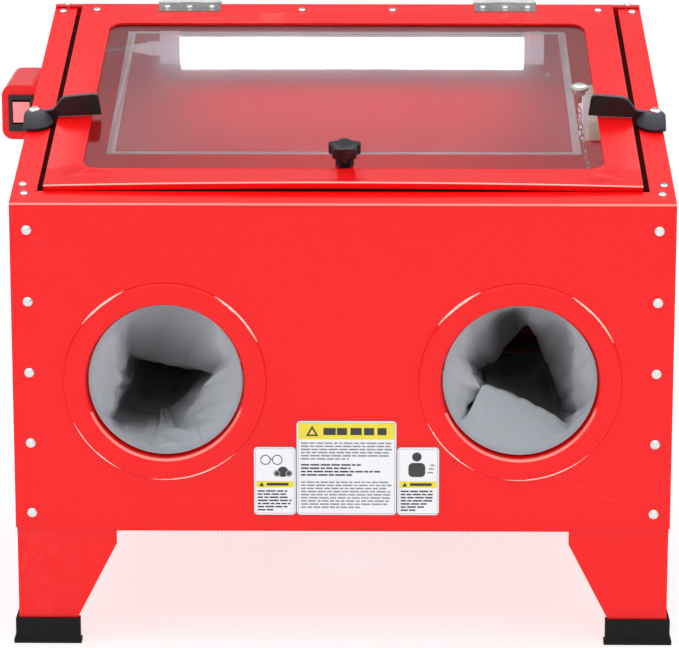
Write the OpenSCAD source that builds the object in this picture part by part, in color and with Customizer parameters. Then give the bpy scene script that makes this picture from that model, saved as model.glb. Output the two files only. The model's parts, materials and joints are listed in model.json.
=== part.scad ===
// Bench-top abrasive blasting cabinet: folded sheet body, sloping window lid, two arm sleeves.
// The design is drawn in a cabinet frame: x = 0 on the centreline, y = 0 on the front panel,
// z = 0 on the floor. in_frame() then moves it so that the box around everything is centred.

/* [Cabinet] */
// Outside width of the body
cab_w = 584; // [560:1:610]
// Outside depth of the body
cab_d = 490; // [470:1:510]
// Height of the bottom edge of the panels
skirt_z = 108.5; // [100:0.5:118]
// Height of the fold along the front top edge
front_z = 404; // [390:1:418]
// Height of the flange along the rear top edge
rear_z = 508.5; // [495:0.5:520]
// Sheet thickness of the panels
sheet = 2; // [1.5:0.1:2.5]
// Radius of the folds
fold_r = 3; // [2.5:0.1:5]
// How far the front panel is folded back over the slope
lip = 27; // [22:1:32]
// Width of the rims along both sides of the lid
rim = 22; // [18:1:26]
// Depth of the flange along the rear top edge
rear_flange = 11; // [9:0.5:12]

/* [Arm holes] */
// Distance of each hole from the centreline
hole_x = 157; // [145:1:170]
// Height of the hole centres
hole_z = 243; // [235:1:250]
// Inner radius of the trim ring
hole_r = 70; // [64:1:76]
// Outer radius of the trim ring
ring_r = 90; // [84:1:96]
// How far the ring stands out of the panel
ring_out = 3; // [2:0.5:5]
// Depth of the ring's inner collar
ring_in = 14; // [10:1:20]

/* [Sleeves] */
// Wall thickness of the sleeve cloth
cloth = 2.5; // [2:0.1:4]
// Radius of the sleeve at the wrist
wrist_r = 46; // [40:1:52]
// Length of the sleeve behind the panel
sleeve_len = 180; // [150:5:220]
// Length of the hand part with its fingers
hand_len = 108; // [95:1:120]

/* [Lid] */
// Half width of the lid
lid_hw = 267.5; // [260:0.5:268.5]
// Start of the lid up the slope
lid_s0 = 28.5; // [28:0.5:32]
// End of the lid up the slope
lid_s1 = 488; // [480:1:488]
// Height of the lid's top above the rims
lid_h = 5; // [4:0.5:7]
// Depth of the lid's side and front flanges
lid_flange = 9; // [6:0.5:11]
// Half width of the window cut-out
win_hw = 233; // [220:1:240]
// Start of the window up the slope
win_s0 = 67; // [60:1:75]
// End of the window up the slope
win_s1 = 434; // [420:1:440]
// Corner radius of the window
win_r = 16; // [12:1:22]
// Thickness of the clear pane
pane_t = 3; // [2:0.5:4]

/* [Latches] */
// Distance of each latch pivot from the centreline
latch_x = 284.8; // [280:0.5:286]
// Place of the latch pivots up the slope
latch_s = 180; // [160:1:200]
// Base radius of the latch hub
hub_r = 16.8; // [15:0.2:17]
// Height of the latch hub
hub_h = 15; // [12:0.5:18]
// Reach of the latch arm from its pivot
arm_reach = 61; // [50:1:68]
// Top of the latch arm above the rims
arm_top = 27; // [22:1:30]

/* [Hinges] */
// Distance of each hinge from the centreline
hinge_x = 157; // [140:1:180]
// Width of a hinge
hinge_w = 61; // [50:1:70]
// Radius of the hinge barrel
barrel_r = 2.7; // [2.2:0.1:3.2]

/* [Legs and base] */
// Height of the top of the legs
leg_top = 105; // [98:0.5:105]
// Height of the rubber feet
foot_h = 23.5; // [18:0.5:28]
// Width of a leg at its top
leg_w = 89; // [80:1:100]
// Width of a leg at its foot
leg_foot_w = 53.5; // [45:0.5:60]
// Lowest height of the hopper trough
hopper_z = 66; // [60:1:80]
// Height of the work grate
grate_z = 150; // [140:1:170]
// Spacing of the grate bars
grate_pitch = 34; // [28:1:44]

/* [Hidden] */
$fn = 64;
slope_a = atan((rear_z - front_z) / cab_d);
half_w = cab_w / 2;
in_hw = half_w - sheet;
frame_x = 13;
hinge_y = cab_d - rear_flange + 1.5;
hinge_z = rear_z + barrel_r + 0.2;
pan_d = 8.5;
shank_r = 2;
gap = 0.3;
red = [0.80, 0.05, 0.05];
steel = [0.72, 0.73, 0.75];
black = [0.06, 0.06, 0.07];

// moves the cabinet frame so that the box around the whole object is centred on the origin
module in_frame() translate([frame_x, -cab_d / 2, 0]) children();
// local axes: x across, y up the slope from the front fold, z out of the slope
module on_slope() translate([0, 0, front_z]) rotate([slope_a, 0, 0]) children();
// extrudes a profile drawn in (y, z) along x, centred
module along_x(w) rotate([90, 0, 90]) translate([0, 0, -w / 2]) linear_extrude(w) children();
module rounded(x0, x1, y0, y1, r) {
    translate([x0 + r, y0]) square([x1 - x0 - 2 * r, y1 - y0]);
    translate([x0, y0 + r]) square([x1 - x0, y1 - y0 - 2 * r]);
    for (x = [x0 + r, x1 - r], y = [y0 + r, y1 - r]) translate([x, y]) circle(r);
}
// pan-head screw along z: the head sits above z = 0 and the shank runs below it
module pan_screw(d, len, r = shank_r) difference() {
    union() {
        cylinder(h = 1.2, d = d);
        translate([0, 0, 1.2]) cylinder(h = 1.2, d1 = d, d2 = d * 0.62);
        translate([0, 0, -len]) cylinder(h = len + 0.5, r = r);
    }
    for (a = [0, 90]) rotate([0, 0, a]) translate([-d * 0.25, -0.5, 1.4]) cube([d * 0.5, 1, 2]);
}
module hex_nut(af, h, bore) difference() {
    cylinder(h = h, d = af / cos(30), $fn = 6);
    translate([0, 0, -1]) cylinder(h = h + 2, r = bore);
}
// a tube along hand-picked points, turned by one ring of sides at every point
function unit(v) = v / norm(v);
function tangent(p, i) = unit(p[min(i + 1, len(p) - 1)] - p[max(i - 1, 0)]);
function smooth_point(p, i, t) =
    let (a = p[max(i - 1, 0)], b = p[i], c = p[i + 1], d = p[min(i + 2, len(p) - 1)])
    0.5 * (2 * b + (c - a) * t + (2 * a - 5 * b + 4 * c - d) * t * t
        + (3 * b - a - 3 * c + d) * t * t * t);
function smooth_path(p, n) = concat(
    [for (i = [0 : len(p) - 2], k = [0 : n - 1]) smooth_point(p, i, k / n)], [p[len(p) - 1]]);
function carried(n, t) = unit(n - (n * t) * t);
function side_axes(p, n, i = 0) =
    let (here = carried(n, tangent(p, i)))
    i == len(p) - 1 ? [here] : concat([here], side_axes(p, here, i + 1));
module tube(points, r, start, sides = 10, n = 5) {
    p = smooth_path(points, n);
    axes = side_axes(p, start);
    rings = [for (i = [0 : len(p) - 1], k = [0 : sides - 1])
        let (u = axes[i], v = cross(tangent(p, i), u), a = 360 * k / sides)
        p[i] + r * (cos(a) * u + sin(a) * v)];
    last = (len(p) - 1) * sides;
    polyhedron(rings, concat(
        [[for (k = [0 : sides - 1]) k]],
        [for (i = [0 : len(p) - 2], k = [0 : sides - 1])
            let (a = i * sides + k, b = i * sides + (k + 1) % sides)
            [a, a + sides, b + sides, b]],
        [[for (k = [sides - 1 : -1 : 0]) last + k]]));
}

// the fold along the front top edge, drawn in (y, z)
module front_profile() {
    zc = front_z + fold_r * tan(slope_a) - fold_r / cos(slope_a);
    translate([0, skirt_z]) square([sheet, zc - skirt_z]);
    translate([fold_r, zc]) intersection() {
        difference() {
            circle(fold_r);
            circle(fold_r - sheet);
        }
        polygon([[0, 0], [-9, 0], [-9, 9], [-9 * sin(slope_a), 9 * cos(slope_a)]]);
    }
    translate([0, front_z]) rotate(slope_a)
        translate([fold_r * (1 - sin(slope_a)) / cos(slope_a), -sheet])
            square([lip - fold_r * (1 - sin(slope_a)) / cos(slope_a), sheet]);
}
function front_screw_z(i) = 122.5 + 64.4 * i;
module front_panel() color(red) in_frame() difference() {
    along_x(cab_w) front_profile();
    for (sx = [-1, 1]) {
        translate([sx * hole_x, -1, hole_z]) rotate([-90, 0, 0])
            cylinder(h = sheet + 2, r = hole_r + 2 + gap, $fn = 128);
        for (i = [0 : 4]) translate([sx * 277, -1, front_screw_z(i)]) rotate([-90, 0, 0])
            cylinder(h = sheet + 2, r = shank_r + gap);
        on_slope() translate([sx * 280.5, 20, -sheet - 1]) cylinder(h = sheet + 2, r = shank_r + gap);
    }
}
module side_plate() {
    z_at = front_z - sheet / cos(slope_a);
    polygon([[sheet, skirt_z], [cab_d - sheet, skirt_z], [cab_d - sheet, rear_z - sheet],
        [cab_d - rear_flange, rear_z - sheet],
        [cab_d - rear_flange, z_at + (cab_d - rear_flange) * tan(slope_a)],
        [4, z_at + 4 * tan(slope_a)], [sheet, z_at - 1]]);
}
// x = 0 is the outer face and the panel is folded towards -x
module side_panel() {
    difference() {
        translate([-sheet / 2, 0, 0]) along_x(sheet) side_plate();
        on_slope() translate([-2 * sheet, -5, -sheet]) cube([4 * sheet, lip + 5.5, 20]);
        children();
    }
    on_slope() difference() {
        translate([-rim, lip + 0.5, -sheet]) cube([rim, lid_s1 - lip, sheet]);
        for (s = [40, 478]) translate([-8.5, s, -sheet - 1]) cylinder(h = sheet + 2, r = shank_r + gap);
        translate([latch_x - half_w, latch_s, -sheet - 1]) cylinder(h = sheet + 2, r = 3.3);
    }
}
module side_panel_left() color(red) in_frame() mirror([1, 0, 0]) translate([half_w, 0, 0])
    side_panel() {
        translate([-5, 340, 432]) rotate([0, 90, 0]) cylinder(h = 10, r = 5);
    }
module side_panel_right() color(red) in_frame() translate([half_w, 0, 0])
    side_panel() {
        translate([-5, 370, 418]) rotate([0, 90, 0]) cylinder(h = 10, r = 20);
        translate([-5, 400, 250]) rotate([0, 90, 0]) cylinder(h = 10, r = 7.3);
    }
module rear_panel() color(red) in_frame() difference() {
    union() {
        translate([-half_w, cab_d - sheet, skirt_z]) cube([cab_w, sheet, rear_z - skirt_z]);
        translate([-half_w, cab_d - rear_flange, rear_z - sheet]) cube([cab_w, rear_flange, sheet]);
    }
    for (sx = [-1, 1]) {
        for (i = [0 : 4]) translate([sx * 277, cab_d + 1, front_screw_z(i) + 6]) rotate([90, 0, 0])
            cylinder(h = sheet + 2, r = shank_r + gap);
        translate([sx * 280, cab_d - 5.5, rear_z - sheet - 1]) cylinder(h = sheet + 2, r = shank_r + gap);
    }
    translate([200.5, cab_d + 1, 435]) rotate([90, 0, 0]) cylinder(h = sheet + 2, r = 2.8);
}
// the shelf under the lid's edge, and the foam strip on it
module slope_frame(hw, s0, s1, in_w, h0, h1, in_s0, in_s1) on_slope() difference() {
    translate([-hw, s0, h0]) cube([2 * hw, s1 - s0, h1 - h0]);
    translate([-in_w, in_s0, h0 - 1]) cube([2 * in_w, in_s1 - in_s0, h1 - h0 + 2]);
}
module seal_ledge() color(red) in_frame() slope_frame(in_hw, 12, 481, 252, -12, -10, 52, 452);
module lid_seal() color(black) in_frame()
    slope_frame(267, 29, 478, 256, -10, lid_h - sheet - lid_flange - 0.1, 41, 466);

// V-shaped trough hung from a flat rim, with closed ends
module hopper_pan() color(red) in_frame() {
    rim_t = 3;
    mid = cab_d / 2;
    difference() {
        translate([-half_w + 1, 1, skirt_z - rim_t]) cube([cab_w - 2, cab_d - 2, rim_t]);
        translate([-260, 32, skirt_z - rim_t - 1]) cube([520, cab_d - 64, rim_t + 2]);
        for (x = [-110, 110], y = [12, cab_d - 12]) translate([x, y, skirt_z - rim_t - 1])
            cylinder(h = rim_t + 2, r = shank_r + gap);
        for (sx = [-1, 1], y = [17, cab_d - 17]) translate([sx * 275, y, skirt_z - rim_t - 1])
            cylinder(h = rim_t + 2, r = shank_r + gap);
    }
    difference() {
        along_x(520) polygon([[30, skirt_z - rim_t], [mid - 60, hopper_z], [mid + 60, hopper_z],
            [cab_d - 30, skirt_z - rim_t], [cab_d - 32, skirt_z - rim_t], [cab_d - 32, skirt_z],
            [cab_d - 34, skirt_z], [mid + 59, hopper_z + 2], [mid - 59, hopper_z + 2],
            [34, skirt_z], [32, skirt_z], [32, skirt_z - rim_t]]);
        translate([0, mid, hopper_z - 5]) cylinder(h = 12, r = 30 + gap);
    }
    for (sx = [-1, 1]) translate([sx * 259, 0, 0]) along_x(2)
        polygon([[33, skirt_z - 1], [mid - 59, hopper_z + 1], [mid + 59, hopper_z + 1],
            [cab_d - 33, skirt_z - 1]]);
}
module hopper_outlet() color(steel) in_frame() translate([0, cab_d / 2, 0]) difference() {
    union() {
        translate([0, 0, hopper_z - 16]) cylinder(h = 16, r = 33);
        translate([0, 0, hopper_z - 1]) cylinder(h = 3, r = 30);
        translate([-12, 33, hopper_z - 14]) cube([24, 9, 10]);
    }
    translate([0, 0, hopper_z - 20]) cylinder(h = 30, r = 27);
    translate([-6.5, 34, hopper_z - 20]) cube([13, 12, 20]);
    translate([-20, 38.5, hopper_z - 9]) rotate([0, 90, 0]) cylinder(h = 40, r = 1.9);
}
// round clean-out door under the outlet: flap, eye and its pin
module hopper_door() color(steel) in_frame() translate([0, cab_d / 2, 0]) {
    translate([0, 0, hopper_z - 19]) cylinder(h = 2.7, r = 33);
    translate([-6, 30, hopper_z - 19]) cube([12, 10.5, 2.7]);
    translate([-6, 36.7, hopper_z - 18]) cube([12, 3.6, 8]);
    translate([-6, 38.5, hopper_z - 9]) rotate([0, 90, 0]) cylinder(h = 12, r = 3.2);
    translate([-13, 38.5, hopper_z - 9]) rotate([0, 90, 0]) cylinder(h = 26, r = 1.85);
    translate([-7, -40, hopper_z - 19]) cube([14, 10, 2.7]);
}
// the bars lie across the cross bars, so each bar stays a plain piece of flat stock
module grate_bars() color(steel) in_frame() for (x = [-8 : 8])
    translate([x * grate_pitch - 1.5, 12, grate_z - 5]) cube([3, cab_d - 24, 5]);
module grate_cross_bars() color(steel) in_frame() for (y = [14 : 51 : cab_d - 12])
    translate([-280, y, grate_z - 8]) cube([560, 3, 3]);
module grate_rails() color(red) in_frame() for (sx = [-1, 1]) {
    translate([sx * (in_hw - 1) - 1, 12, grate_z - 40]) cube([2, cab_d - 24, 30]);
    translate([sx * (in_hw - 10) - 10, 12, grate_z - 10]) cube([20, cab_d - 24, 2]);
}

// one leg: L-section with a rounded top fold; sx, sy pick the corner
module leg_at(sx, sy) in_frame() translate([0, sy > 0 ? cab_d : 0, 0])
    mirror([sx < 0 ? 1 : 0, 0, 0]) mirror([0, sy > 0 ? 1 : 0, 0]) children();
module leg() {
    out = half_w - 1;
    set_in = 3;
    difference() {
        union() {
            translate([0, set_in + sheet, 0]) rotate([90, 0, 0]) linear_extrude(sheet)
                polygon([[out, 5], [out, leg_top], [out - leg_w, leg_top], [out - leg_w, leg_top - 12],
                    [out - leg_foot_w, foot_h + 1], [out - leg_foot_w, 5]]);
            translate([out - sheet / 2, 0, 0]) along_x(sheet)
                polygon([[set_in + 1, 5], [set_in + 1, leg_top], [set_in + leg_w, leg_top],
                    [set_in + leg_w, leg_top - 12], [set_in + leg_foot_w, foot_h + 1],
                    [set_in + leg_foot_w, 5]]);
            translate([out - leg_w, set_in, leg_top - sheet]) cube([leg_w, 22, sheet]);
            translate([out - 22, set_in, leg_top - sheet]) cube([22, leg_w, sheet]);
        }
        translate([275, 17, leg_top - sheet - 1]) cylinder(h = sheet + 2, r = shank_r + gap);
    }
}
// rubber boot over the end of a leg, with a bead round its sole
module foot() {
    out = half_w - 1;
    difference() {
        union() {
            translate([out - 55, 0, 0]) cube([58, 9, foot_h]);
            translate([out - 5, 0, 0]) cube([8, 59, foot_h]);
            translate([out - 56.2, -1.2, 0]) cube([60.9, 11.4, 4.5]);
            translate([out - 6.2, -1.2, 0]) cube([10.9, 61.4, 4.5]);
        }
        translate([out - leg_foot_w, 3, 5]) cube([leg_foot_w, sheet, foot_h]);
        translate([out - sheet, 3, 5]) cube([sheet, leg_foot_w, foot_h]);
    }
}
module leg_front_left() color(red) leg_at(-1, -1) leg();
module leg_front_right() color(red) leg_at(1, -1) leg();
module leg_rear_left() color(red) leg_at(-1, 1) leg();
module leg_rear_right() color(red) leg_at(1, 1) leg();
module foot_front_left() color(black) leg_at(-1, -1) foot();
module foot_front_right() color(black) leg_at(1, -1) foot();
module foot_rear_left() color(black) leg_at(-1, 1) foot();
module foot_rear_right() color(black) leg_at(1, 1) foot();

module front_screws() color(steel) in_frame() for (sx = [-1, 1], i = [0 : 4])
    translate([sx * 277, 0, front_screw_z(i)]) rotate([90, 0, 0]) pan_screw(pan_d, 6);
module top_screws() color(steel) in_frame() {
    for (sx = [-1, 1]) {
        on_slope() for (s = [40, 478]) translate([sx * (half_w - 8.5), s, 0]) pan_screw(7.5, 7);
        on_slope() translate([sx * 280.5, 20, 0]) pan_screw(7.5, 7);
        translate([sx * 280, cab_d - 5.5, rear_z]) pan_screw(7.5, 7);
    }
    at_hinges() for (i = [-1 : 1]) translate([23.4 * i * 0.95, 5.9, 1.3 - barrel_r])
        pan_screw(5.6, 1.2, 1.4);
}
module rear_screws() color(steel) in_frame() {
    for (sx = [-1, 1], i = [0 : 4]) translate([sx * 277, cab_d, front_screw_z(i) + 6])
        rotate([-90, 0, 0]) pan_screw(pan_d, 6);
    translate([200.5, cab_d, 435]) rotate([-90, 0, 0]) pan_screw(9, 8, 2.4);
    translate([200.5, cab_d - sheet, 435]) rotate([90, 0, 0]) hex_nut(8, 4, 2.4);
}
module base_bolts() color(steel) in_frame() {
    for (x = [-110, 110], y = [12, cab_d - 12]) translate([x, y, skirt_z]) pan_screw(9, 9);
    for (sx = [-1, 1], y = [17, cab_d - 17]) translate([sx * 275, y, skirt_z]) pan_screw(9, 12);
}

// trim ring round an arm hole, with a rounded step and a collar through the panel
module ring() in_frame() rotate([90, 0, 0]) rotate_extrude($fn = 128) {
    translate([hole_r + 3, 0]) square([ring_r - hole_r - 6, ring_out]);
    translate([ring_r - 3, 0]) intersection() {
        circle(ring_out, $fn = 32);
        square([ring_out, ring_out]);
    }
    translate([hole_r + 3, 0]) intersection() {
        circle(ring_out, $fn = 32);
        translate([-ring_out, 0]) square([ring_out, ring_out]);
    }
    translate([hole_r, -ring_in]) square([2, ring_in + 0.5]);
    translate([hole_r - 1, -ring_in - 2]) square([5, 2]);
}
module ring_left() color(red) translate([-hole_x, 0, hole_z]) ring();
module ring_right() color(red) translate([hole_x, 0, hole_z]) ring();

// arm sleeve and its glove: a hollow cone, a flattened palm, four fingers and a thumb
function finger_x(i) = -27 + 18 * i;
module palm(r, flat, len) intersection() {
    union() {
        cylinder(h = len - r, r = r);
        translate([0, 0, len - r]) sphere(r);
    }
    translate([-r, -flat / 2, -1]) cube([2 * r, flat, len + 2]);
}
module glove() {
    difference() {
        union() {
            palm(wrist_r - 6, 40, 70);
            for (i = [0 : 3]) translate([finger_x(i) * 0.85, 0, 34]) rotate([0, (i - 1.5) * 4, 0]) {
                cylinder(h = hand_len - 50, r = 8.5, $fn = 24);
                translate([0, 0, hand_len - 50]) sphere(8.5, $fn = 24);
            }
            translate([30, 0, 14]) rotate([0, 38, 0]) cylinder(h = 42, r = 9.5, $fn = 24);
            translate([30, 0, 14]) rotate([0, 38, 0]) translate([0, 0, 42]) sphere(9.5, $fn = 24);
        }
        translate([0, 0, -1]) palm(wrist_r - 6 - cloth, 40 - 2 * cloth, 66);
    }
}
module sleeve() in_frame() {
    r0 = hole_r - 1.5;
    rotate([-90, 0, 0]) rotate_extrude() polygon([
        [r0 - cloth, 8], [r0, 8], [r0 - 3, ring_in + 6], [wrist_r, sleeve_len],
        [wrist_r, sleeve_len + 6], [wrist_r - 7, sleeve_len + 6], [wrist_r - 7, sleeve_len + 3],
        [wrist_r - cloth, sleeve_len], [r0 - 3 - cloth, ring_in + 6]]);
}
module sleeve_left() color([0.5, 0.52, 0.56]) translate([-hole_x, 0, hole_z]) sleeve();
module sleeve_right() color([0.5, 0.52, 0.56]) translate([hole_x, 0, hole_z]) sleeve();
module gloves() color([0.3, 0.08, 0.06]) in_frame() for (m = [0, 1]) mirror([m, 0, 0])
    translate([-hole_x, sleeve_len + 7, hole_z]) rotate([-90, 0, 0]) glove();

// strip lamp on the rear wall
lamp_y = cab_d - sheet;
module lamp_housing() color(steel) in_frame() translate([-183, lamp_y - 16, 449]) difference() {
    cube([375, 16, 33]);
    translate([2, -1, 2]) cube([371, 15, 24]);
}
module lamp_diffuser() color([0.97, 0.97, 0.95]) in_frame() translate([-167, lamp_y - 16, 463])
    rotate([90, 0, 90]) linear_extrude(343) difference() {
        intersection() {
            circle(13);
            translate([-16, -16]) square([16, 32]);
        }
        circle(10.8);
    }
module lamp_end_caps() color([0.85, 0.85, 0.83]) in_frame() for (x = [-187, 176])
    translate([x, lamp_y - 16, 465.5]) rotate([90, 0, 90]) linear_extrude(20) difference() {
        intersection() {
            circle(16.5);
            translate([-18, -18]) square([18, 36]);
        }
        translate([-2, -3]) square([3, 6]);
    }
module lamp_plug() color([0.6, 0.6, 0.62]) in_frame() translate([-187, lamp_y - 24, 465.5])
    rotate([0, -90, 0]) difference() {
        union() {
            cylinder(h = 12, r = 7);
            translate([0, 0, 12]) cylinder(h = 14, r1 = 6, r2 = 4);
            for (i = [0 : 3]) translate([0, 0, 12.5 + 3 * i]) cylinder(h = 1.5, r = 6 - 0.4 * i);
        }
        translate([0, 0, 14]) cylinder(h = 20, r = 2.8);
    }
module lamp_lead() color([0.75, 0.75, 0.76]) in_frame() tube([
    [-203, 464, 465.5], [-222, 464, 465.5], [-243, 463, 464], [-266, 452, 461], [-279, 430, 456],
    [-284, 400, 449], [-284, 372, 441], [-282, 352, 435], [-287, 341, 432], [-302, 340, 432]],
    2.5, [0, 0, 1], 10, 6);

// switch box on the outside of the left wall: hollow, with a rocker in its front face
box_y = 280;
box_len = 105;
box_out = 34.5;
box_z = 409;
box_top = 461;
module switch_box() color(red) in_frame() difference() {
    translate([0, box_y + box_len, 0]) rotate([90, 0, 0]) linear_extrude(box_len)
        rounded(-half_w - box_out, -half_w, box_z, box_top, 10);
    translate([0, box_y + box_len - 2, 0]) rotate([90, 0, 0]) linear_extrude(box_len - 4)
        rounded(-half_w - box_out + 2, -half_w - 2, box_z + 2, box_top - 2, 8);
    translate([-half_w - 27, box_y - 1, 419]) cube([22, 4, 31]);
    translate([-half_w - 4, 340, 432]) rotate([0, 90, 0]) cylinder(h = 8, r = 5);
}
module switch_bezel() color(black) in_frame() difference() {
    union() {
        translate([-half_w - 28, box_y - 2.5, 417]) cube([24, 2.5, 35]);
        translate([-half_w - 26.5, box_y - 1, 419.5]) cube([21, 19, 30]);
    }
    translate([-half_w - 24.5, box_y - 4, 423.8]) cube([17, 20, 23.4]);
}
// two faces meet at a shallow angle, so that one half stands out
module rocker() color([0.9, 0.1, 0.12]) in_frame() translate([-half_w - 16, box_y + 4, 435.5]) {
    translate([-8.45, 0, 0]) rotate([0, 90, 0]) cylinder(h = 16.9, r = 1.5);
    along_x(16) polygon([[-7.2, 10], [-4.8, 0], [-5.4, -10], [3, -8], [6, 0], [3, 8]]);
}

// pleated filter on the inside of the right wall, and the guard outside it
filter_y = 370;
filter_z = 418;
pleats = 36;
function pleat(i, r, deep) = (r - (i % 2) * deep) * [cos(180 * i / pleats), sin(180 * i / pleats)];
module filter_element() color([0.93, 0.9, 0.82]) in_frame() translate([in_hw - 1, filter_y, filter_z])
    rotate([0, -90, 0]) difference() {
        linear_extrude(56) polygon([for (i = [0 : 2 * pleats - 1]) pleat(i, 27, 5)]);
        translate([0, 0, -1]) cylinder(h = 60, r = 18);
    }
module filter_cap() color([0.2, 0.2, 0.21]) in_frame() {
    translate([in_hw - 57, filter_y, filter_z]) rotate([0, -90, 0]) {
        cylinder(h = 4, r = 28);
        translate([0, 0, 4]) cylinder(h = 1.5, r1 = 26, r2 = 23);
    }
    translate([in_hw, filter_y, filter_z]) rotate([0, -90, 0]) difference() {
        cylinder(h = 1, r = 30);
        translate([0, 0, -1]) cylinder(h = 3, r = 18);
    }
}
module exhaust_guard() color(black) in_frame() translate([half_w, filter_y, filter_z])
    rotate([0, 90, 0]) difference() {
        union() {
            cylinder(h = 2, r = 34);
            translate([0, 0, 2]) cylinder(h = 6, r1 = 26, r2 = 24);
        }
        translate([0, 0, -1]) cylinder(h = 6.5, r = 22);
        for (i = [-3 : 3]) translate([i * 6 - 1.7, -15, -1]) cube([3.4, 30, 12]);
    }
// air coupling through the right wall, low down near the rear
module air_inlet() color([0.8, 0.65, 0.3]) in_frame() translate([half_w, 400, 250])
    rotate([0, 90, 0]) difference() {
        union() {
            cylinder(h = 5, d = 22 / cos(30), $fn = 6);
            translate([0, 0, -14]) cylinder(h = 15, r = 7);
            translate([0, 0, -sheet - 4]) cylinder(h = 4, d = 22 / cos(30), $fn = 6);
            translate([0, 0, 5]) cylinder(h = 4, r = 8);
        }
        translate([0, 0, -20]) cylinder(h = 40, r = 3.4);
    }
module air_hose() color([0.1, 0.1, 0.11]) in_frame() tube([
    [277, 400, 250], [262, 398, 246], [248, 390, 215], [238, 374, 180], [208, 368, 162],
    [140, 382, 160], [70, 390, 161], [38, 380, 169], [25, 362, 184], [22, 346, 189.5],
    [22, 338.3, 190]],
    6, [0, 1, 0], 12, 7);
module pickup_tube() color([0.72, 0.74, 0.7]) in_frame() tube([
    [-15, 296, 100], [-15, 296, 130], [-15, 296, 152], [-15, 300, 172], [-18, 312, 195],
    [-12, 322, 215], [0, 321, 225], [14, 313, 226], [21, 307, 217], [22, 306, 207.4]],
    5.5, [0, 1, 0], 12, 6);
// the gun stands on the grate: pistol grip, barrel, ceramic nozzle and trigger
gun_y = 306;
module gun_body() color([0.45, 0.46, 0.48]) in_frame() translate([22, gun_y, 190]) difference() {
    union() {
        translate([0, 31.5, 0]) rotate([90, 0, 0]) cylinder(h = 73.5, r = 11);
        translate([-9, 0, -36]) rotate([-8, 0, 0]) cube([18, 26, 36]);
        translate([0, 0, 8]) cylinder(h = 8, r = 8.5);
        translate([-2, -34, -34]) cube([4, 36, 3]);
        translate([-2, -37, -34]) cube([4, 3, 30]);
    }
    translate([0, 33, 0]) rotate([90, 0, 0]) cylinder(h = 93, r = 4);
    translate([0, -16, -6]) cube([6, 12, 14], center = true);
}
module gun_nozzle() color([0.9, 0.87, 0.8]) in_frame() translate([22, gun_y - 42, 190])
    rotate([90, 0, 0]) difference() {
        union() {
            cylinder(h = 8, r = 12);
            translate([0, 0, 8]) cylinder(h = 26, r1 = 8, r2 = 6.5);
        }
        translate([0, 0, -1]) cylinder(h = 40, r = 3.5);
    }
module gun_trigger() color([0.15, 0.15, 0.16]) in_frame() translate([22, gun_y - 16, 180]) {
    along_x(5) polygon([[-2, 2], [3, 2], [3, -6], [1, -15], [-3, -15], [-4, -8]]);
    translate([-2.95, 0.5, 0]) rotate([0, 90, 0]) cylinder(h = 5.9, r = 1.2);
}

// blank caution plate: a main panel with a smaller one on each side
module label() color([0.95, 0.95, 0.97]) in_frame() rotate([90, 0, 0]) linear_extrude(0.8) {
    translate([-41, 121]) square([89, 87]);
    translate([-79, 121]) square([38, 63]);
    translate([48, 121]) square([38, 63]);
}

// latches: a low hub with a fin-shaped arm, turning on a screw in the rim
module latch_pivots() color(steel) in_frame() on_slope() for (sx = [-1, 1])
    translate([sx * latch_x, latch_s, hub_h + 0.15]) pan_screw(10, hub_h + 8, 3.15);
module latch() {
    difference() {
        union() {
            rotate_extrude() polygon([[0, 0.3], [hub_r, 0.3], [hub_r, 4], [8.5, hub_h], [0, hub_h]]);
            translate([0, 4.5, 0]) rotate([0, 0, 7]) translate([0, 4.5, 0]) rotate([90, 0, 0])
                linear_extrude(4.6) polygon([[7, 2.5], [12, 2.5], [15, lid_h + 1], [arm_reach, lid_h + 1],
                    [arm_reach - 4, arm_top - 2], [arm_reach - 7, arm_top], [29, arm_top - 2],
                    [20, arm_top - 6], [12, hub_h + 0.6], [7, hub_h - 3]]);
        }
        translate([0, 0, -1]) cylinder(h = hub_h + 2, r = 3.2);
        translate([-40, -40, -1]) cube([30, 80, 60]);
    }
}
module latch_left() color(black) in_frame() on_slope() translate([-latch_x, latch_s, 0]) latch();
module latch_right() color(black) in_frame() on_slope() translate([latch_x, latch_s, 0])
    mirror([1, 0, 0]) latch();

// hinges: two leaves round one pin; the lid's leaf carries the middle barrel
module at_hinges() for (sx = [-1, 1]) translate([sx * hinge_x, hinge_y, hinge_z]) children();
module barrel(x0, x1) translate([x0, 0, 0]) rotate([0, 90, 0]) cylinder(h = x1 - x0, r = barrel_r);
knuckle = hinge_w / 3;
module hinge_rear() color(steel) in_frame() at_hinges() {
    difference() {
        union() {
            barrel(-hinge_w / 2, -knuckle / 2 - 0.2);
            barrel(knuckle / 2 + 0.2, hinge_w / 2);
            for (x = [-hinge_w / 2, knuckle / 2 + 0.2])
                translate([x, 0, -barrel_r]) cube([knuckle - 0.2, 3.2, 1.4]);
            translate([-hinge_w / 2, barrel_r + 0.5, -barrel_r - 0.2])
                cube([hinge_w, rear_flange - 2 - barrel_r, 1.5]);
        }
        for (i = [-1 : 1]) translate([23.4 * i * 0.95, 5.9, -9]) cylinder(h = 12, r = 1.4 + gap);
    }
    translate([-hinge_w / 2 - 1, 0, 0]) rotate([0, 90, 0]) cylinder(h = hinge_w + 2, r = 1.5);
}
leaf_s0 = 464;
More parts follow.
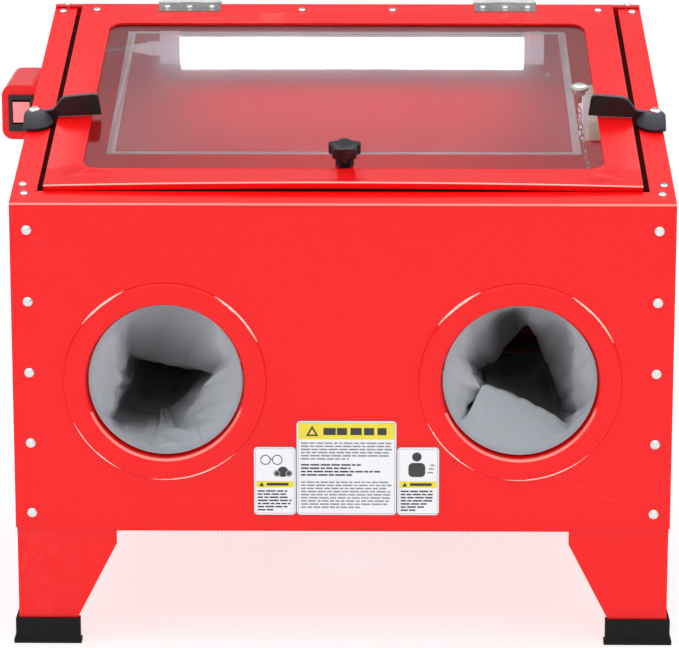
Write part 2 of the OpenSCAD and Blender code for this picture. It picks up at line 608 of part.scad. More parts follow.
module hinge_front() color(steel) in_frame() {
    at_hinges() difference() {
        union() {
            barrel(-knuckle / 2, knuckle / 2);
            translate([-knuckle / 2, -3.4, -0.3]) cube([knuckle, 3.4, 1.3]);
        }
        translate([-hinge_w, 0, 0]) rotate([0, 90, 0]) cylinder(h = 2 * hinge_w, r = 1.55);
    }
    for (sx = [-1, 1]) on_slope() translate([sx * hinge_x, 0, lid_h]) {
        difference() {
            translate([-hinge_w / 2, leaf_s0, 0]) cube([hinge_w, lid_s1 - leaf_s0, 1.5]);
            for (i = [-1 : 1]) translate([23.4 * i * 0.95, 474, -1]) cylinder(h = 4, r = shank_r + gap);
        }
        translate([-knuckle / 2, lid_s1 - 1, 0]) cube([knuckle, 2.7, 1.5]);
    }
}

// lid: a shallow tray with a rounded window and three down-turned edges
module lid_panel() color(red) in_frame() on_slope() difference() {
    union() {
        translate([-lid_hw, lid_s0, lid_h - sheet]) cube([2 * lid_hw, lid_s1 - lid_s0, sheet]);
        translate([-lid_hw, lid_s0, lid_h - sheet - lid_flange]) cube([2 * lid_hw, sheet, lid_flange]);
        for (x = [-lid_hw, lid_hw - sheet]) translate([x, lid_s0, lid_h - sheet - lid_flange])
            cube([sheet, lid_s1 - lid_s0 - 12, lid_flange]);
    }
    translate([0, 0, -5]) linear_extrude(20) rounded(-win_hw, win_hw, win_s0, win_s1, win_r);
    for (x = [-249, -45, 45, 249]) translate([x, 469, -5]) cylinder(h = 20, r = shank_r + gap);
    for (sx = [-1, 1], i = [-1 : 1]) translate([sx * hinge_x + 23.4 * i * 0.95, 474, -5])
        cylinder(h = 20, r = shank_r + gap);
}
pane_top = lid_h - sheet;
knob_x = 1;
knob_s = 82;
bolt_x = 220.5;
bolt_s = 266;
module window_pane() color([0.8, 0.85, 0.85, 0.4]) in_frame() on_slope() difference() {
    translate([-250, win_s0 - 15, pane_top - pane_t]) cube([500, win_s1 - win_s0 + 30, pane_t]);
    translate([knob_x, knob_s, -5]) cylinder(h = 20, r = 3.05);
    translate([bolt_x, bolt_s, -5]) cylinder(h = 20, r = 2.8);
}
module film_frame() color([0.9, 0.9, 0.9, 0.6]) in_frame() on_slope() difference() {
    translate([-214, 108, pane_top - pane_t - 0.8]) cube([428, 310, 0.8]);
    translate([-206.5, 113, -10]) cube([413, 300, 20]);
}
module lid_screws() color(steel) in_frame() on_slope() {
    for (x = [-249, -45, 45, 249]) translate([x, 469, lid_h]) pan_screw(7.5, 6);
    for (sx = [-1, 1], i = [-1 : 1]) translate([sx * hinge_x + 23.4 * i * 0.95, 474, lid_h + 1.5])
        pan_screw(6.6, 7);
}
module chain_bolt() color(steel) in_frame() on_slope() translate([bolt_x, bolt_s, pane_top]) {
    translate([0, 0, 2]) pan_screw(14, 18, 2.5);
    difference() {
        cylinder(h = 2, r = 8.5);
        translate([0, 0, -1]) cylinder(h = 4, r = 2.5);
    }
    translate([0, 0, -pane_t - 5]) hex_nut(10, 5, 2.5);
}
// star knob on its own stud, free to turn in the pane
module lid_knob() color(black) in_frame() on_slope() translate([knob_x, knob_s, pane_top]) {
    translate([0, 0, 0.2]) cylinder(h = 11, r = 8.5);
    translate([0, 0, 10]) difference() {
        union() {
            cylinder(h = 9, r = 12.5);
            for (i = [0 : 4]) rotate([0, 0, 72 * i + 18]) translate([10, 0, 0]) cylinder(h = 9, r = 5);
            translate([0, 0, 8.5]) cylinder(h = 1.5, r1 = 10.5, r2 = 8);
        }
        for (i = [0 : 4]) rotate([0, 0, 72 * i + 54]) translate([15.5, 0, -1]) cylinder(h = 12, r = 4);
    }
    translate([0, 0, -14]) cylinder(h = 15, r = 3);
    translate([0, 0, -pane_t - 5.2]) cylinder(h = 5, d = 10 / cos(30), $fn = 6);
}
// stay chain, drawn as one soft run between the bolt and the wall
module stay_chain() color(steel) in_frame() tube([
    [220.5, 263, 441], [222, 262, 424], [226, 259, 400], [232, 255, 372], [241, 249, 348],
    [252, 240, 334], [262, 229, 330], [271, 217, 338], [277, 207, 354], [279.5, 201, 370]],
    2.6, [1, 0, 0], 8, 6);
module chain_anchor() color(steel) in_frame() translate([in_hw, 200, 376]) rotate([0, -90, 0]) {
    cylinder(h = 3, d = 12 / cos(30), $fn = 6);
    cylinder(h = 16, r = 2.5);
    translate([0, 0, 14]) cylinder(h = 2, r = 4.5);
}

front_panel();
side_panel_left();
side_panel_right();
rear_panel();
seal_ledge();
lid_seal();
hopper_pan();
hopper_outlet();
grate_bars();
grate_cross_bars();
grate_rails();
leg_front_left();
leg_front_right();
leg_rear_left();
leg_rear_right();
foot_front_left();
foot_front_right();
foot_rear_left();
foot_rear_right();
front_screws();
top_screws();
rear_screws();
base_bolts();
ring_left();
ring_right();
sleeve_left();
sleeve_right();
gloves();
lamp_housing();
lamp_diffuser();
lamp_end_caps();
lamp_plug();
lamp_lead();
switch_box();
switch_bezel();
filter_element();
filter_cap();
exhaust_guard();
air_inlet();
air_hose();
pickup_tube();
gun_body();
gun_nozzle();
label();
latch_pivots();
stay_chain();
chain_anchor();
hinge_rear();
lid_panel();
window_pane();
film_frame();
hinge_front();
lid_screws();
chain_bolt();
lid_knob();
latch_left();
latch_right();
rocker();
gun_trigger();
hopper_door();
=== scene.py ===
import json
import math
import random

import bmesh
import bpy
from mathutils import Matrix, Vector, noise
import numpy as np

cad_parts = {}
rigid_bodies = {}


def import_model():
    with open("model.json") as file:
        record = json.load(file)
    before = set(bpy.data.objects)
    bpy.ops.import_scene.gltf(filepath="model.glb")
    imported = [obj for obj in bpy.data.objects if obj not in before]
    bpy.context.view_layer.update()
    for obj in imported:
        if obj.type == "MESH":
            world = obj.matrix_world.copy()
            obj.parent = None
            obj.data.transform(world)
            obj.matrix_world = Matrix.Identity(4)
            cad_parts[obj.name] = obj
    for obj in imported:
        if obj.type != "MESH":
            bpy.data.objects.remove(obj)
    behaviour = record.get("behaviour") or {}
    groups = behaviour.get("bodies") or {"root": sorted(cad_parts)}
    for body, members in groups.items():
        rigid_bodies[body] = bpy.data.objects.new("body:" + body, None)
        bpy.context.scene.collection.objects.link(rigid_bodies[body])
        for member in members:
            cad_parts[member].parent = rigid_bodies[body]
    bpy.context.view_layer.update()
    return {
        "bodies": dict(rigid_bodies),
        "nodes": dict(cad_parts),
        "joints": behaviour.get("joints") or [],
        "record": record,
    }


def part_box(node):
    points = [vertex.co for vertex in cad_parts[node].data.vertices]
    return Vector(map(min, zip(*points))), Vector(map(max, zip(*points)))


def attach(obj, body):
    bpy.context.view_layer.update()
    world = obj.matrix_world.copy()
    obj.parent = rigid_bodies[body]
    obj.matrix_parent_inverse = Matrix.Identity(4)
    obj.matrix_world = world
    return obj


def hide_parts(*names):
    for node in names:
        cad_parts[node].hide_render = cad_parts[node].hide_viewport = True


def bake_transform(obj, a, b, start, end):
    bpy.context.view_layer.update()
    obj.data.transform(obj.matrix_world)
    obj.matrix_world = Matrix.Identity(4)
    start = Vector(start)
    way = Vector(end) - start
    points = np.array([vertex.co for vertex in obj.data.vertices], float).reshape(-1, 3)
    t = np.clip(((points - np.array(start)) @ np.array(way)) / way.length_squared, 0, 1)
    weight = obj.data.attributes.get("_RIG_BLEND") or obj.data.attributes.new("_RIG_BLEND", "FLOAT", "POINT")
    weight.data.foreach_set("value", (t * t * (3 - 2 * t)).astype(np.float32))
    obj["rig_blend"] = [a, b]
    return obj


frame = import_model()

nodes = frame["nodes"]
bodyOf = {n: b for b, members in frame["record"]["behaviour"]["bodies"].items() for n in members}
slotOf = {s["node"]: s["material_slot"] for s in frame["record"]["subparts"]}
scene = bpy.context.scene


# the cabinet's own lines: x is measured from the centreline, s up the slope, h out of the slope
cabinet = {"shiftX": 0.013, "shiftY": -0.245, "foldHeight": 0.404, "rise": 0.1045, "depth": 0.490,
           "halfWidth": 0.292}
slopeAngle = math.atan(cabinet["rise"] / cabinet["depth"])


def onSlope(x, s, h):
    return Vector((
        x + cabinet["shiftX"],
        s * math.cos(slopeAngle) - h * math.sin(slopeAngle) + cabinet["shiftY"],
        cabinet["foldHeight"] + s * math.sin(slopeAngle) + h * math.cos(slopeAngle)))


def inCabinet(x, y, z):
    return Vector((x + cabinet["shiftX"], y + cabinet["shiftY"], z))


def toSlope(point):
    y, z = point.y - cabinet["shiftY"], point.z - cabinet["foldHeight"]
    c, s = math.cos(slopeAngle), math.sin(slopeAngle)
    return point.x - cabinet["shiftX"], y * c + z * s, -y * s + z * c


mm = 0.001

print("camera")
view = {"place": (0.0430, -3.2252, 1.0103), "down": 13.476, "turn": 0.629, "lens": 184.57}
cameraData = bpy.data.cameras.new("camera")
cameraData.lens = view["lens"]
cameraData.sensor_width = 36
cameraData.clip_end = 40
camera = bpy.data.objects.new("camera", cameraData)
camera.location = view["place"]
camera.rotation_euler = (math.radians(90 - view["down"]), 0, math.radians(view["turn"]))
scene.collection.objects.link(camera)
scene.camera = camera


def link(material, source, target):
    material.node_tree.links.new(source, target)


def newGroup(name, inputs, outputs):
    group = bpy.data.node_groups.new(name, "ShaderNodeTree")
    for label, kind, value in inputs:
        socket = group.interface.new_socket(label, in_out="INPUT", socket_type=kind)
        if value is not None:
            socket.default_value = value
    for label, kind in outputs:
        group.interface.new_socket(label, in_out="OUTPUT", socket_type=kind)
    return group, group.nodes.new("NodeGroupInput"), group.nodes.new("NodeGroupOutput")


def groupNoise(group, vector, scale, detail=3.0, rough=0.5):
    noise = group.nodes.new("ShaderNodeTexNoise")
    noise.inputs["Detail"].default_value = detail
    noise.inputs["Roughness"].default_value = rough
    group.links.new(vector, noise.inputs["Vector"])
    if hasattr(scale, "links"):
        group.links.new(scale, noise.inputs["Scale"])
    else:
        noise.inputs["Scale"].default_value = scale
    return noise


def groupMath(group, kind, a, b=None, clamp=False):
    node = group.nodes.new("ShaderNodeMath")
    node.operation = kind
    node.use_clamp = clamp
    for k, value in enumerate((a, b)):
        if value is None:
            continue
        if hasattr(value, "links"):
            group.links.new(value, node.inputs[k])
        else:
            node.inputs[k].default_value = value
    return node.outputs[0]


def groupRange(group, value, low, high, toLow=0.0, toHigh=1.0):
    node = group.nodes.new("ShaderNodeMapRange")
    group.links.new(value, node.inputs["Value"])
    for label, number in (("From Min", low), ("From Max", high), ("To Min", toLow), ("To Max", toHigh)):
        node.inputs[label].default_value = number
    return node.outputs["Result"]


print("shared effects")


def buildGrain():
    # fine and coarse waviness of a coat or a moulding
    group, entry, leave = newGroup("grain", [
        ("Vector", "NodeSocketVector", None), ("Fine Scale", "NodeSocketFloat", 900.0),
        ("Coarse Scale", "NodeSocketFloat", 60.0), ("Coarse Share", "NodeSocketFloat", 0.4)],
        [("Height", "NodeSocketFloat")])
    fine = groupNoise(group, entry.outputs["Vector"], entry.outputs["Fine Scale"], 2.0)
    coarse = groupNoise(group, entry.outputs["Vector"], entry.outputs["Coarse Scale"], 2.0)
    share = groupMath(group, "MULTIPLY", coarse.outputs["Fac"], entry.outputs["Coarse Share"])
    group.links.new(groupMath(group, "ADD", fine.outputs["Fac"], share), leave.inputs["Height"])
    return group


def buildBlotch():
    # slow colour drift with a little dust, as a factor round 0.5
    group, entry, leave = newGroup("blotch", [
        ("Vector", "NodeSocketVector", None), ("Scale", "NodeSocketFloat", 4.0),
        ("Strength", "NodeSocketFloat", 1.0)],
        [("Factor", "NodeSocketFloat"), ("Dust", "NodeSocketFloat")])
    slow = groupNoise(group, entry.outputs["Vector"], entry.outputs["Scale"], 4.0, 0.55)
    middle = groupMath(group, "SUBTRACT", slow.outputs["Fac"], 0.5)
    scaled = groupMath(group, "MULTIPLY", middle, entry.outputs["Strength"])
    group.links.new(groupMath(group, "ADD", scaled, 0.5, clamp=True), leave.inputs["Factor"])
    speck = groupNoise(group, entry.outputs["Vector"], 420.0, 3.0, 0.7)
    group.links.new(groupRange(group, speck.outputs["Fac"], 0.60, 0.78), leave.inputs["Dust"])
    return group


def buildScuffs():
    # thin hairline scratches in two directions
    group, entry, leave = newGroup("scuffs", [
        ("Vector", "NodeSocketVector", None), ("Scale", "NodeSocketFloat", 1.0)],
        [("Mask", "NodeSocketFloat")])
    masks = []
    for turn in ((0.9, 0.4, 0.7), (-0.6, 0.9, 2.2)):
        place = group.nodes.new("ShaderNodeMapping")
        place.inputs["Rotation"].default_value = turn
        place.inputs["Scale"].default_value = (16, 800, 16)
        group.links.new(entry.outputs["Vector"], place.inputs["Vector"])
        streak = groupNoise(group, place.outputs["Vector"], entry.outputs["Scale"], 2.0, 0.6)
        masks.append(groupRange(group, streak.outputs["Fac"], 0.68, 0.80))
    group.links.new(groupMath(group, "MAXIMUM", *masks), leave.inputs["Mask"])
    return group


def buildEdgeWear():
    # bright worn edges, where the surface is sharply convex, broken up by noise
    group, entry, leave = newGroup("edgeWear", [
        ("Vector", "NodeSocketVector", None), ("Reach", "NodeSocketFloat", 0.5)],
        [("Mask", "NodeSocketFloat")])
    geometry = group.nodes.new("ShaderNodeNewGeometry")
    sharp = groupRange(group, geometry.outputs["Pointiness"], 0.56, 0.68)
    noise = groupNoise(group, entry.outputs["Vector"], 90.0, 5.0, 0.7)
    broken = groupRange(group, noise.outputs["Fac"], 0.45, 0.62)
    both = groupMath(group, "MULTIPLY", sharp, broken)
    group.links.new(groupMath(group, "MULTIPLY", both, entry.outputs["Reach"]), leave.inputs["Mask"])
    return group


def buildWeave():
    # over-and-under threads that follow the cloth's own UV map
    group, entry, leave = newGroup("weave", [
        ("Vector", "NodeSocketVector", None), ("Across", "NodeSocketFloat", 400.0),
        ("Along", "NodeSocketFloat", 400.0)],
        [("Height", "NodeSocketFloat"), ("Thread", "NodeSocketFloat")])
    parts = group.nodes.new("ShaderNodeSeparateXYZ")
    group.links.new(entry.outputs["Vector"], parts.inputs[0])
    waves = []
    for axis, label in (("X", "Across"), ("Y", "Along")):
        scaled = groupMath(group, "MULTIPLY", parts.outputs[axis], entry.outputs[label])
        waves.append(groupMath(group, "SINE", groupMath(group, "MULTIPLY", scaled, 2 * math.pi)))
    product = groupMath(group, "MULTIPLY", waves[0], waves[1])
    fibre = groupNoise(group, entry.outputs["Vector"], 700.0, 3.0, 0.7)
    lifted = groupMath(group, "ADD", product, groupMath(group, "MULTIPLY", fibre.outputs["Fac"], 0.8))
    group.links.new(lifted, leave.inputs["Height"])
    group.links.new(groupRange(group, product, -1.0, 1.0), leave.inputs["Thread"])
    return group


effects = {"grain": buildGrain(), "blotch": buildBlotch(), "scuffs": buildScuffs(),
           "edgeWear": buildEdgeWear(), "weave": buildWeave()}


def addEffect(material, name, coordinates, **values):
    node = material.node_tree.nodes.new("ShaderNodeGroup")
    node.node_tree = effects[name]
    link(material, coordinates, node.inputs["Vector"])
    for label, value in values.items():
        node.inputs[label.replace("_", " ")].default_value = value
    return node


def mixColour(material, factor, first, second):
    node = material.node_tree.nodes.new("ShaderNodeMix")
    node.data_type = "RGBA"
    for socket, value in ((node.inputs[0], factor), (node.inputs[6], first), (node.inputs[7], second)):
        if hasattr(value, "links"):
            link(material, value, socket)
        else:
            socket.default_value = value if isinstance(value, float) else (*value, 1)
    return node.outputs[2]


def remap(material, value, toLow, toHigh, low=0.0, high=1.0):
    node = material.node_tree.nodes.new("ShaderNodeMapRange")
    link(material, value, node.inputs["Value"])
    for label, number in (("From Min", low), ("From Max", high), ("To Min", toLow), ("To Max", toHigh)):
        node.inputs[label].default_value = number
    return node.outputs["Result"]


def scaleAndAdd(material, value, factor, base):
    # value times factor, plus base
    node = material.node_tree.nodes.new("ShaderNodeMath")
    node.operation = "MULTIPLY_ADD"
    link(material, value, node.inputs[0])
    node.inputs[1].default_value = factor
    link(material, base, node.inputs[2])
    return node.outputs[0]


def addBump(material, shader, height, strength, distance):
    bump = material.node_tree.nodes.new("ShaderNodeBump")
    bump.inputs["Strength"].default_value = strength
    bump.inputs["Distance"].default_value = distance
    link(material, height, bump.inputs["Height"])
    link(material, bump.outputs["Normal"], shader.inputs["Normal"])


finishes = {}


def newMaterial(name, coordinate="Object", **sockets):
    material = bpy.data.materials.new(name)
    finishes[name] = material
    material.use_nodes = True
    shader = material.node_tree.nodes["Principled BSDF"]
    for label, value in sockets.items():
        shader.inputs[label.replace("_", " ")].default_value = value
    source = material.node_tree.nodes.new("ShaderNodeTexCoord")
    return material, shader, source.outputs[coordinate]


def coatedFinish(name, colours, rough, grain, wear=0.0, wearColour=(0, 0, 0), bump=0.08, distance=0.0004,
                 **sockets):
    # a painted, moulded or rubber surface: colour drift, grain, worn edges and hairlines
    material, shader, place = newMaterial(name, **sockets)
    blotch = addEffect(material, "blotch", place, Scale=grain.get("drift", 5.0), Strength=1.6)
    colour = mixColour(material, blotch.outputs["Factor"], colours[0], colours[1])
    if wear:
        edge = addEffect(material, "edgeWear", place, Reach=wear)
        colour = mixColour(material, edge.outputs["Mask"], colour, wearColour)
    link(material, colour, shader.inputs["Base Color"])
    scuffs = addEffect(material, "scuffs", place, Scale=grain.get("scuff", 1.0))
    even = remap(material, blotch.outputs["Factor"], *rough)
    link(material, scaleAndAdd(material, scuffs.outputs["Mask"], 0.06, even), shader.inputs["Roughness"])
    height = addEffect(material, "grain", place, Fine_Scale=grain["fine"], Coarse_Scale=grain["coarse"],
                       Coarse_Share=grain.get("share", 0.5))
    addBump(material, shader, height.outputs["Height"], bump, distance)


def metalFinish(name, colours, rough, fine=500.0, bump=0.05, metallic=1.0, **sockets):
    material, shader, place = newMaterial(name, Metallic=metallic, **sockets)
    blotch = addEffect(material, "blotch", place, Scale=60.0, Strength=2.0)
    colour = mixColour(material, blotch.outputs["Factor"], colours[0], colours[1])
    dust = remap(material, blotch.outputs["Dust"], 0.0, 0.25)
    link(material, mixColour(material, dust, colour, colours[2]), shader.inputs["Base Color"])
    scuffs = addEffect(material, "scuffs", place, Scale=3.0)
    even = remap(material, blotch.outputs["Factor"], *rough)
    link(material, scaleAndAdd(material, scuffs.outputs["Mask"], 0.15, even), shader.inputs["Roughness"])
    height = addEffect(material, "grain", place, Fine_Scale=fine, Coarse_Scale=fine / 6, Coarse_Share=0.6)
    addBump(material, shader, height.outputs["Height"], bump, 0.0003)


print("finishes")
coatedFinish("redPaint", ((0.88, 0.0010, 0.0020), (0.94, 0.0025, 0.0035)), (0.20, 0.27),
    {"fine": 700.0, "coarse": 120.0, "drift": 3.0, "share": 1.6}, 0.25, (0.95, 0.10, 0.09),
    bump=0.03, distance=0.0005, Specular_IOR_Level=0.36)
# painted highlights: a lighter red for light caught along folds and on the rings' lower inner lips, and a
# pale cream for the brightest glints on folds and ring edges
coatedFinish("foldHighlightPaint", ((1.0, 0.20, 0.16), (1.0, 0.27, 0.22)), (0.16, 0.22),
    {"fine": 700.0, "coarse": 120.0, "drift": 12.0}, bump=0.02, Coat_Weight=0.6)
coatedFinish("glintPaint", ((1.0, 0.72, 0.60), (1.0, 0.80, 0.70)), (0.14, 0.20),
    {"fine": 700.0, "coarse": 120.0, "drift": 12.0}, bump=0.02, Coat_Weight=0.8)
coatedFinish("blackRubber", ((0.0030, 0.0028, 0.0034), (0.0075, 0.0070, 0.0080)), (0.50, 0.64),
    {"fine": 1300.0, "coarse": 220.0, "drift": 18.0}, 0.25, (0.04, 0.04, 0.04), bump=0.16,
    Specular_IOR_Level=0.18)
# seal foam, coloured dark red rather than black, so that it also stands as painted shade in the gaps round
# the lid
coatedFinish("foam", ((0.014, 0.0016, 0.0016), (0.032, 0.0030, 0.0030)), (0.85, 0.95),
    {"fine": 1800.0, "coarse": 500.0, "drift": 30.0}, bump=0.6,
    Specular_IOR_Level=0.06)
coatedFinish("latchPlastic", ((0.0050, 0.0045, 0.0055), (0.010, 0.009, 0.011)), (0.30, 0.40),
    {"fine": 1500.0, "coarse": 300.0, "drift": 30.0}, 0.30, (0.05, 0.05, 0.055), bump=0.12,
    Specular_IOR_Level=0.40)
coatedFinish("knobPlastic", ((0.004, 0.004, 0.005), (0.008, 0.008, 0.009)), (0.10, 0.17),
    {"fine": 900.0, "coarse": 200.0, "drift": 30.0}, 0.30, (0.06, 0.06, 0.06), bump=0.05)
coatedFinish("blackPlastic", ((0.006, 0.006, 0.007), (0.012, 0.012, 0.013)), (0.34, 0.46),
    {"fine": 1400.0, "coarse": 260.0, "drift": 24.0}, 0.30, (0.09, 0.09, 0.09), bump=0.14)
# white plastic with a faint emission: a painted glow that brightens the lamp's end caps, the filter cap and
# the plug
coatedFinish("whitePlastic", ((0.80, 0.80, 0.82), (0.86, 0.86, 0.88)), (0.30, 0.42),
    {"fine": 900.0, "coarse": 150.0, "drift": 14.0}, 0.2, (0.9, 0.9, 0.9), bump=0.06,
    Emission_Color=(0.88, 0.90, 1.0, 1), Emission_Strength=0.30,
    Subsurface_Weight=0.15, Subsurface_Radius=(0.01, 0.01, 0.01), Subsurface_Scale=0.2)
coatedFinish("whiteEnamel", ((0.15, 0.15, 0.16), (0.20, 0.20, 0.205)), (0.36, 0.48),
    {"fine": 700.0, "coarse": 120.0, "drift": 8.0}, 0.3, (0.5, 0.5, 0.5), bump=0.05)
coatedFinish("leadSheath", ((0.62, 0.62, 0.65), (0.72, 0.72, 0.74)), (0.38, 0.48),
    {"fine": 900.0, "coarse": 200.0, "drift": 40.0}, bump=0.10)
# the rocker: its faint emission is a painted glow that brightens it
coatedFinish("rockerRed", ((0.86, 0.30, 0.30), (0.90, 0.40, 0.40)), (0.12, 0.20),
    {"fine": 600.0, "coarse": 150.0, "drift": 80.0}, bump=0.03,
    Emission_Color=(1.0, 0.22, 0.22, 1), Emission_Strength=0.22, Subsurface_Weight=0.2,
    Subsurface_Radius=(0.01, 0.002, 0.002), Subsurface_Scale=0.2)
coatedFinish("hoseRubber", ((0.012, 0.012, 0.013), (0.022, 0.022, 0.023)), (0.45, 0.58),
    {"fine": 1000.0, "coarse": 300.0, "drift": 30.0}, bump=0.15)
coatedFinish("clearVinyl", ((0.60, 0.62, 0.56), (0.70, 0.71, 0.64)), (0.20, 0.32),
    {"fine": 500.0, "coarse": 90.0, "drift": 30.0}, bump=0.05, Transmission_Weight=0.4)
coatedFinish("ceramic", ((0.80, 0.77, 0.68), (0.88, 0.85, 0.77)), (0.55, 0.7),
    {"fine": 1600.0, "coarse": 300.0, "drift": 60.0}, 0.3, (0.6, 0.58, 0.5), bump=0.12)
coatedFinish("gloveRubber", ((0.16, 0.022, 0.014), (0.24, 0.036, 0.020)), (0.48, 0.62),
    {"fine": 700.0, "coarse": 160.0, "drift": 20.0, "share": 1.2}, bump=0.30,
    distance=0.0008)
metalFinish("zinc", ((0.70, 0.70, 0.72), (0.86, 0.85, 0.83), (0.55, 0.56, 0.60)), (0.20, 0.34))
metalFinish("hingeSteel", ((0.46, 0.46, 0.44), (0.64, 0.63, 0.60), (0.30, 0.29, 0.27)), (0.14, 0.26),
            fine=350.0)
metalFinish("grateSteel", ((0.40, 0.41, 0.43), (0.55, 0.56, 0.57), (0.30, 0.30, 0.31)), (0.38, 0.55),
            bump=0.15)
metalFinish("brass", ((0.70, 0.50, 0.20), (0.82, 0.62, 0.30), (0.45, 0.30, 0.12)), (0.24, 0.36))
metalFinish("castMetal", ((0.46, 0.47, 0.49), (0.56, 0.57, 0.58), (0.33, 0.33, 0.34)), (0.42, 0.55),
            fine=900.0, bump=0.30)


def readAttribute(material, name):
    node = material.node_tree.nodes.new("ShaderNodeAttribute")
    node.attribute_name = name
    return node.outputs["Fac"]


def buildPane():
    # clear acrylic: faint smears and hairlines lift its roughness
    material, shader, place = newMaterial("clearPane", IOR=1.46, Transmission_Weight=1.0)
    blotch = addEffect(material, "blotch", place, Scale=7.0, Strength=2.4)
    link(material, mixColour(material, blotch.outputs["Factor"], (0.90, 0.91, 0.92), (0.96, 0.96, 0.96)),
         shader.inputs["Base Color"])
    scuffs = addEffect(material, "scuffs", place, Scale=1.2)
    even = remap(material, blotch.outputs["Factor"], 0.0, 0.05)
    link(material, scaleAndAdd(material, scuffs.outputs["Mask"], 0.10, even), shader.inputs["Roughness"])


def buildFilm(name, alphas, colour, rough, ripple, glow=0.0):
    # thin clear film, seen mostly by its haze; where glow is given, the glow attribute adds opacity, which
    # paints the lamp's light on it
    material, shader, place = newMaterial(name, Roughness=rough, Specular_IOR_Level=0.5)
    blotch = addEffect(material, "blotch", place, Scale=9.0, Strength=2.0)
    link(material, mixColour(material, blotch.outputs["Factor"], colour, (0.97, 0.95, 0.96)),
         shader.inputs["Base Color"])
    haze = remap(material, blotch.outputs["Factor"], *alphas)
    if glow:
        haze = scaleAndAdd(material, readAttribute(material, "glow"), glow, haze)
    link(material, haze, shader.inputs["Alpha"])
    height = addEffect(material, "grain", place, Fine_Scale=160.0, Coarse_Scale=22.0, Coarse_Share=2.0)
    addBump(material, shader, height.outputs["Height"], ripple, 0.001)


def buildLamp():
    material, shader, place = newMaterial("lampOpal", Roughness=0.35, Emission_Strength=4.2)
    blotch = addEffect(material, "blotch", place, Scale=10.0, Strength=0.6)
    shade = mixColour(material, blotch.outputs["Factor"], (0.93, 0.97, 1.0), (0.98, 1.0, 1.0))
    link(material, shade, shader.inputs["Base Color"])
    link(material, shade, shader.inputs["Emission Color"])


def buildPaper():
    # filter paper: warm white, with painted shade down in the pleats and a faint painted glow
    material, shader, place = newMaterial("filterPaper", Roughness=0.9, Emission_Color=(1.0, 0.93, 0.84, 1),
                                          Emission_Strength=0.16)
    blotch = addEffect(material, "blotch", place, Scale=45.0, Strength=1.5)
    geometry = material.node_tree.nodes.new("ShaderNodeNewGeometry")
    # painted shade in the pleat hollows, found from pointiness
    deep = remap(material, geometry.outputs["Pointiness"], 0.0, 1.0, 0.44, 0.56)
    unshadedColour = mixColour(material, blotch.outputs["Factor"], (0.80, 0.74, 0.63), (0.90, 0.86, 0.77))
    link(material, mixColour(material, deep, (0.42, 0.38, 0.33), unshadedColour), shader.inputs["Base Color"])
    height = addEffect(material, "grain", place, Fine_Scale=1400.0, Coarse_Scale=400.0, Coarse_Share=0.6)
    addBump(material, shader, height.outputs["Height"], 0.35, 0.0005)


def buildCloth():
    # grey ribbed sleeve cloth: fine ribs on the UV map, slow random changes of tone, and painted shade that
    # turns it near black far inside and in its upper part under the ring
    material, shader, place = newMaterial("sleeveCloth", coordinate="UV", Roughness=0.86, Sheen_Weight=0.25,
                                          Sheen_Roughness=0.5)
    solid = material.node_tree.nodes.new("ShaderNodeTexCoord").outputs["Object"]
    weave = addEffect(material, "weave", place, Across=330.0, Along=560.0)
    blotch = addEffect(material, "blotch", solid, Scale=26.0, Strength=1.6)
    thread = mixColour(material, weave.outputs["Thread"], (0.42, 0.46, 0.50), (0.58, 0.63, 0.67))
    faded = remap(material, blotch.outputs["Factor"], 0.0, 0.45)
    unshadedColour = mixColour(material, faded, thread, (0.50, 0.56, 0.60))
    # painted shade: the depth attribute darkens the cloth toward near black
    link(material, mixColour(material, readAttribute(material, "depth"), unshadedColour, (0.006, 0.006, 0.008)),
         shader.inputs["Base Color"])
    addBump(material, shader, weave.outputs["Height"], 0.45, 0.0006)


def buildPrint(name, colours):
    material, shader, place = newMaterial(name, Roughness=0.32, Coat_Weight=0.3, Coat_Roughness=0.2)
    blotch = addEffect(material, "blotch", place, Scale=30.0, Strength=1.4)
    link(material, mixColour(material, blotch.outputs["Factor"], *colours), shader.inputs["Base Color"])
    height = addEffect(material, "grain", place, Fine_Scale=1200.0, Coarse_Scale=60.0, Coarse_Share=0.8)
    addBump(material, shader, height.outputs["Height"], 0.06, 0.0003)


buildPane()
buildFilm("stripFilm", (0.42, 0.58), (0.86, 0.80, 0.84), 0.25, 0.25)
buildFilm("hazeFilm", (0.11, 0.16), (0.86, 0.80, 1.0), 0.35, 0.10, glow=0.55)
buildLamp()
buildPaper()
buildCloth()
buildPrint("printWhite", ((0.82, 0.83, 0.86), (0.90, 0.90, 0.92)))
buildPrint("printYellow", ((0.80, 0.66, 0.02), (0.88, 0.74, 0.03)))
buildPrint("printBlack", ((0.012, 0.012, 0.012), (0.030, 0.030, 0.030)))
buildPrint("printGrey", ((0.20, 0.20, 0.21), (0.30, 0.30, 0.31)))


def clearSelection():
    if bpy.context.object and bpy.context.object.mode != "OBJECT":
        bpy.ops.object.mode_set(mode="OBJECT")
    bpy.ops.object.select_all(action="DESELECT")


def pickOnly(piece):
    clearSelection()
    piece.select_set(True)
    bpy.context.view_layer.objects.active = piece


def setMaterial(piece, *names):
    piece.data.materials.clear()
    for name in names:
        piece.data.materials.append(finishes[name])


def applyModifiers(piece):
    pickOnly(piece)
    for modifier in list(piece.modifiers):
        bpy.ops.object.modifier_apply(modifier=modifier.name)


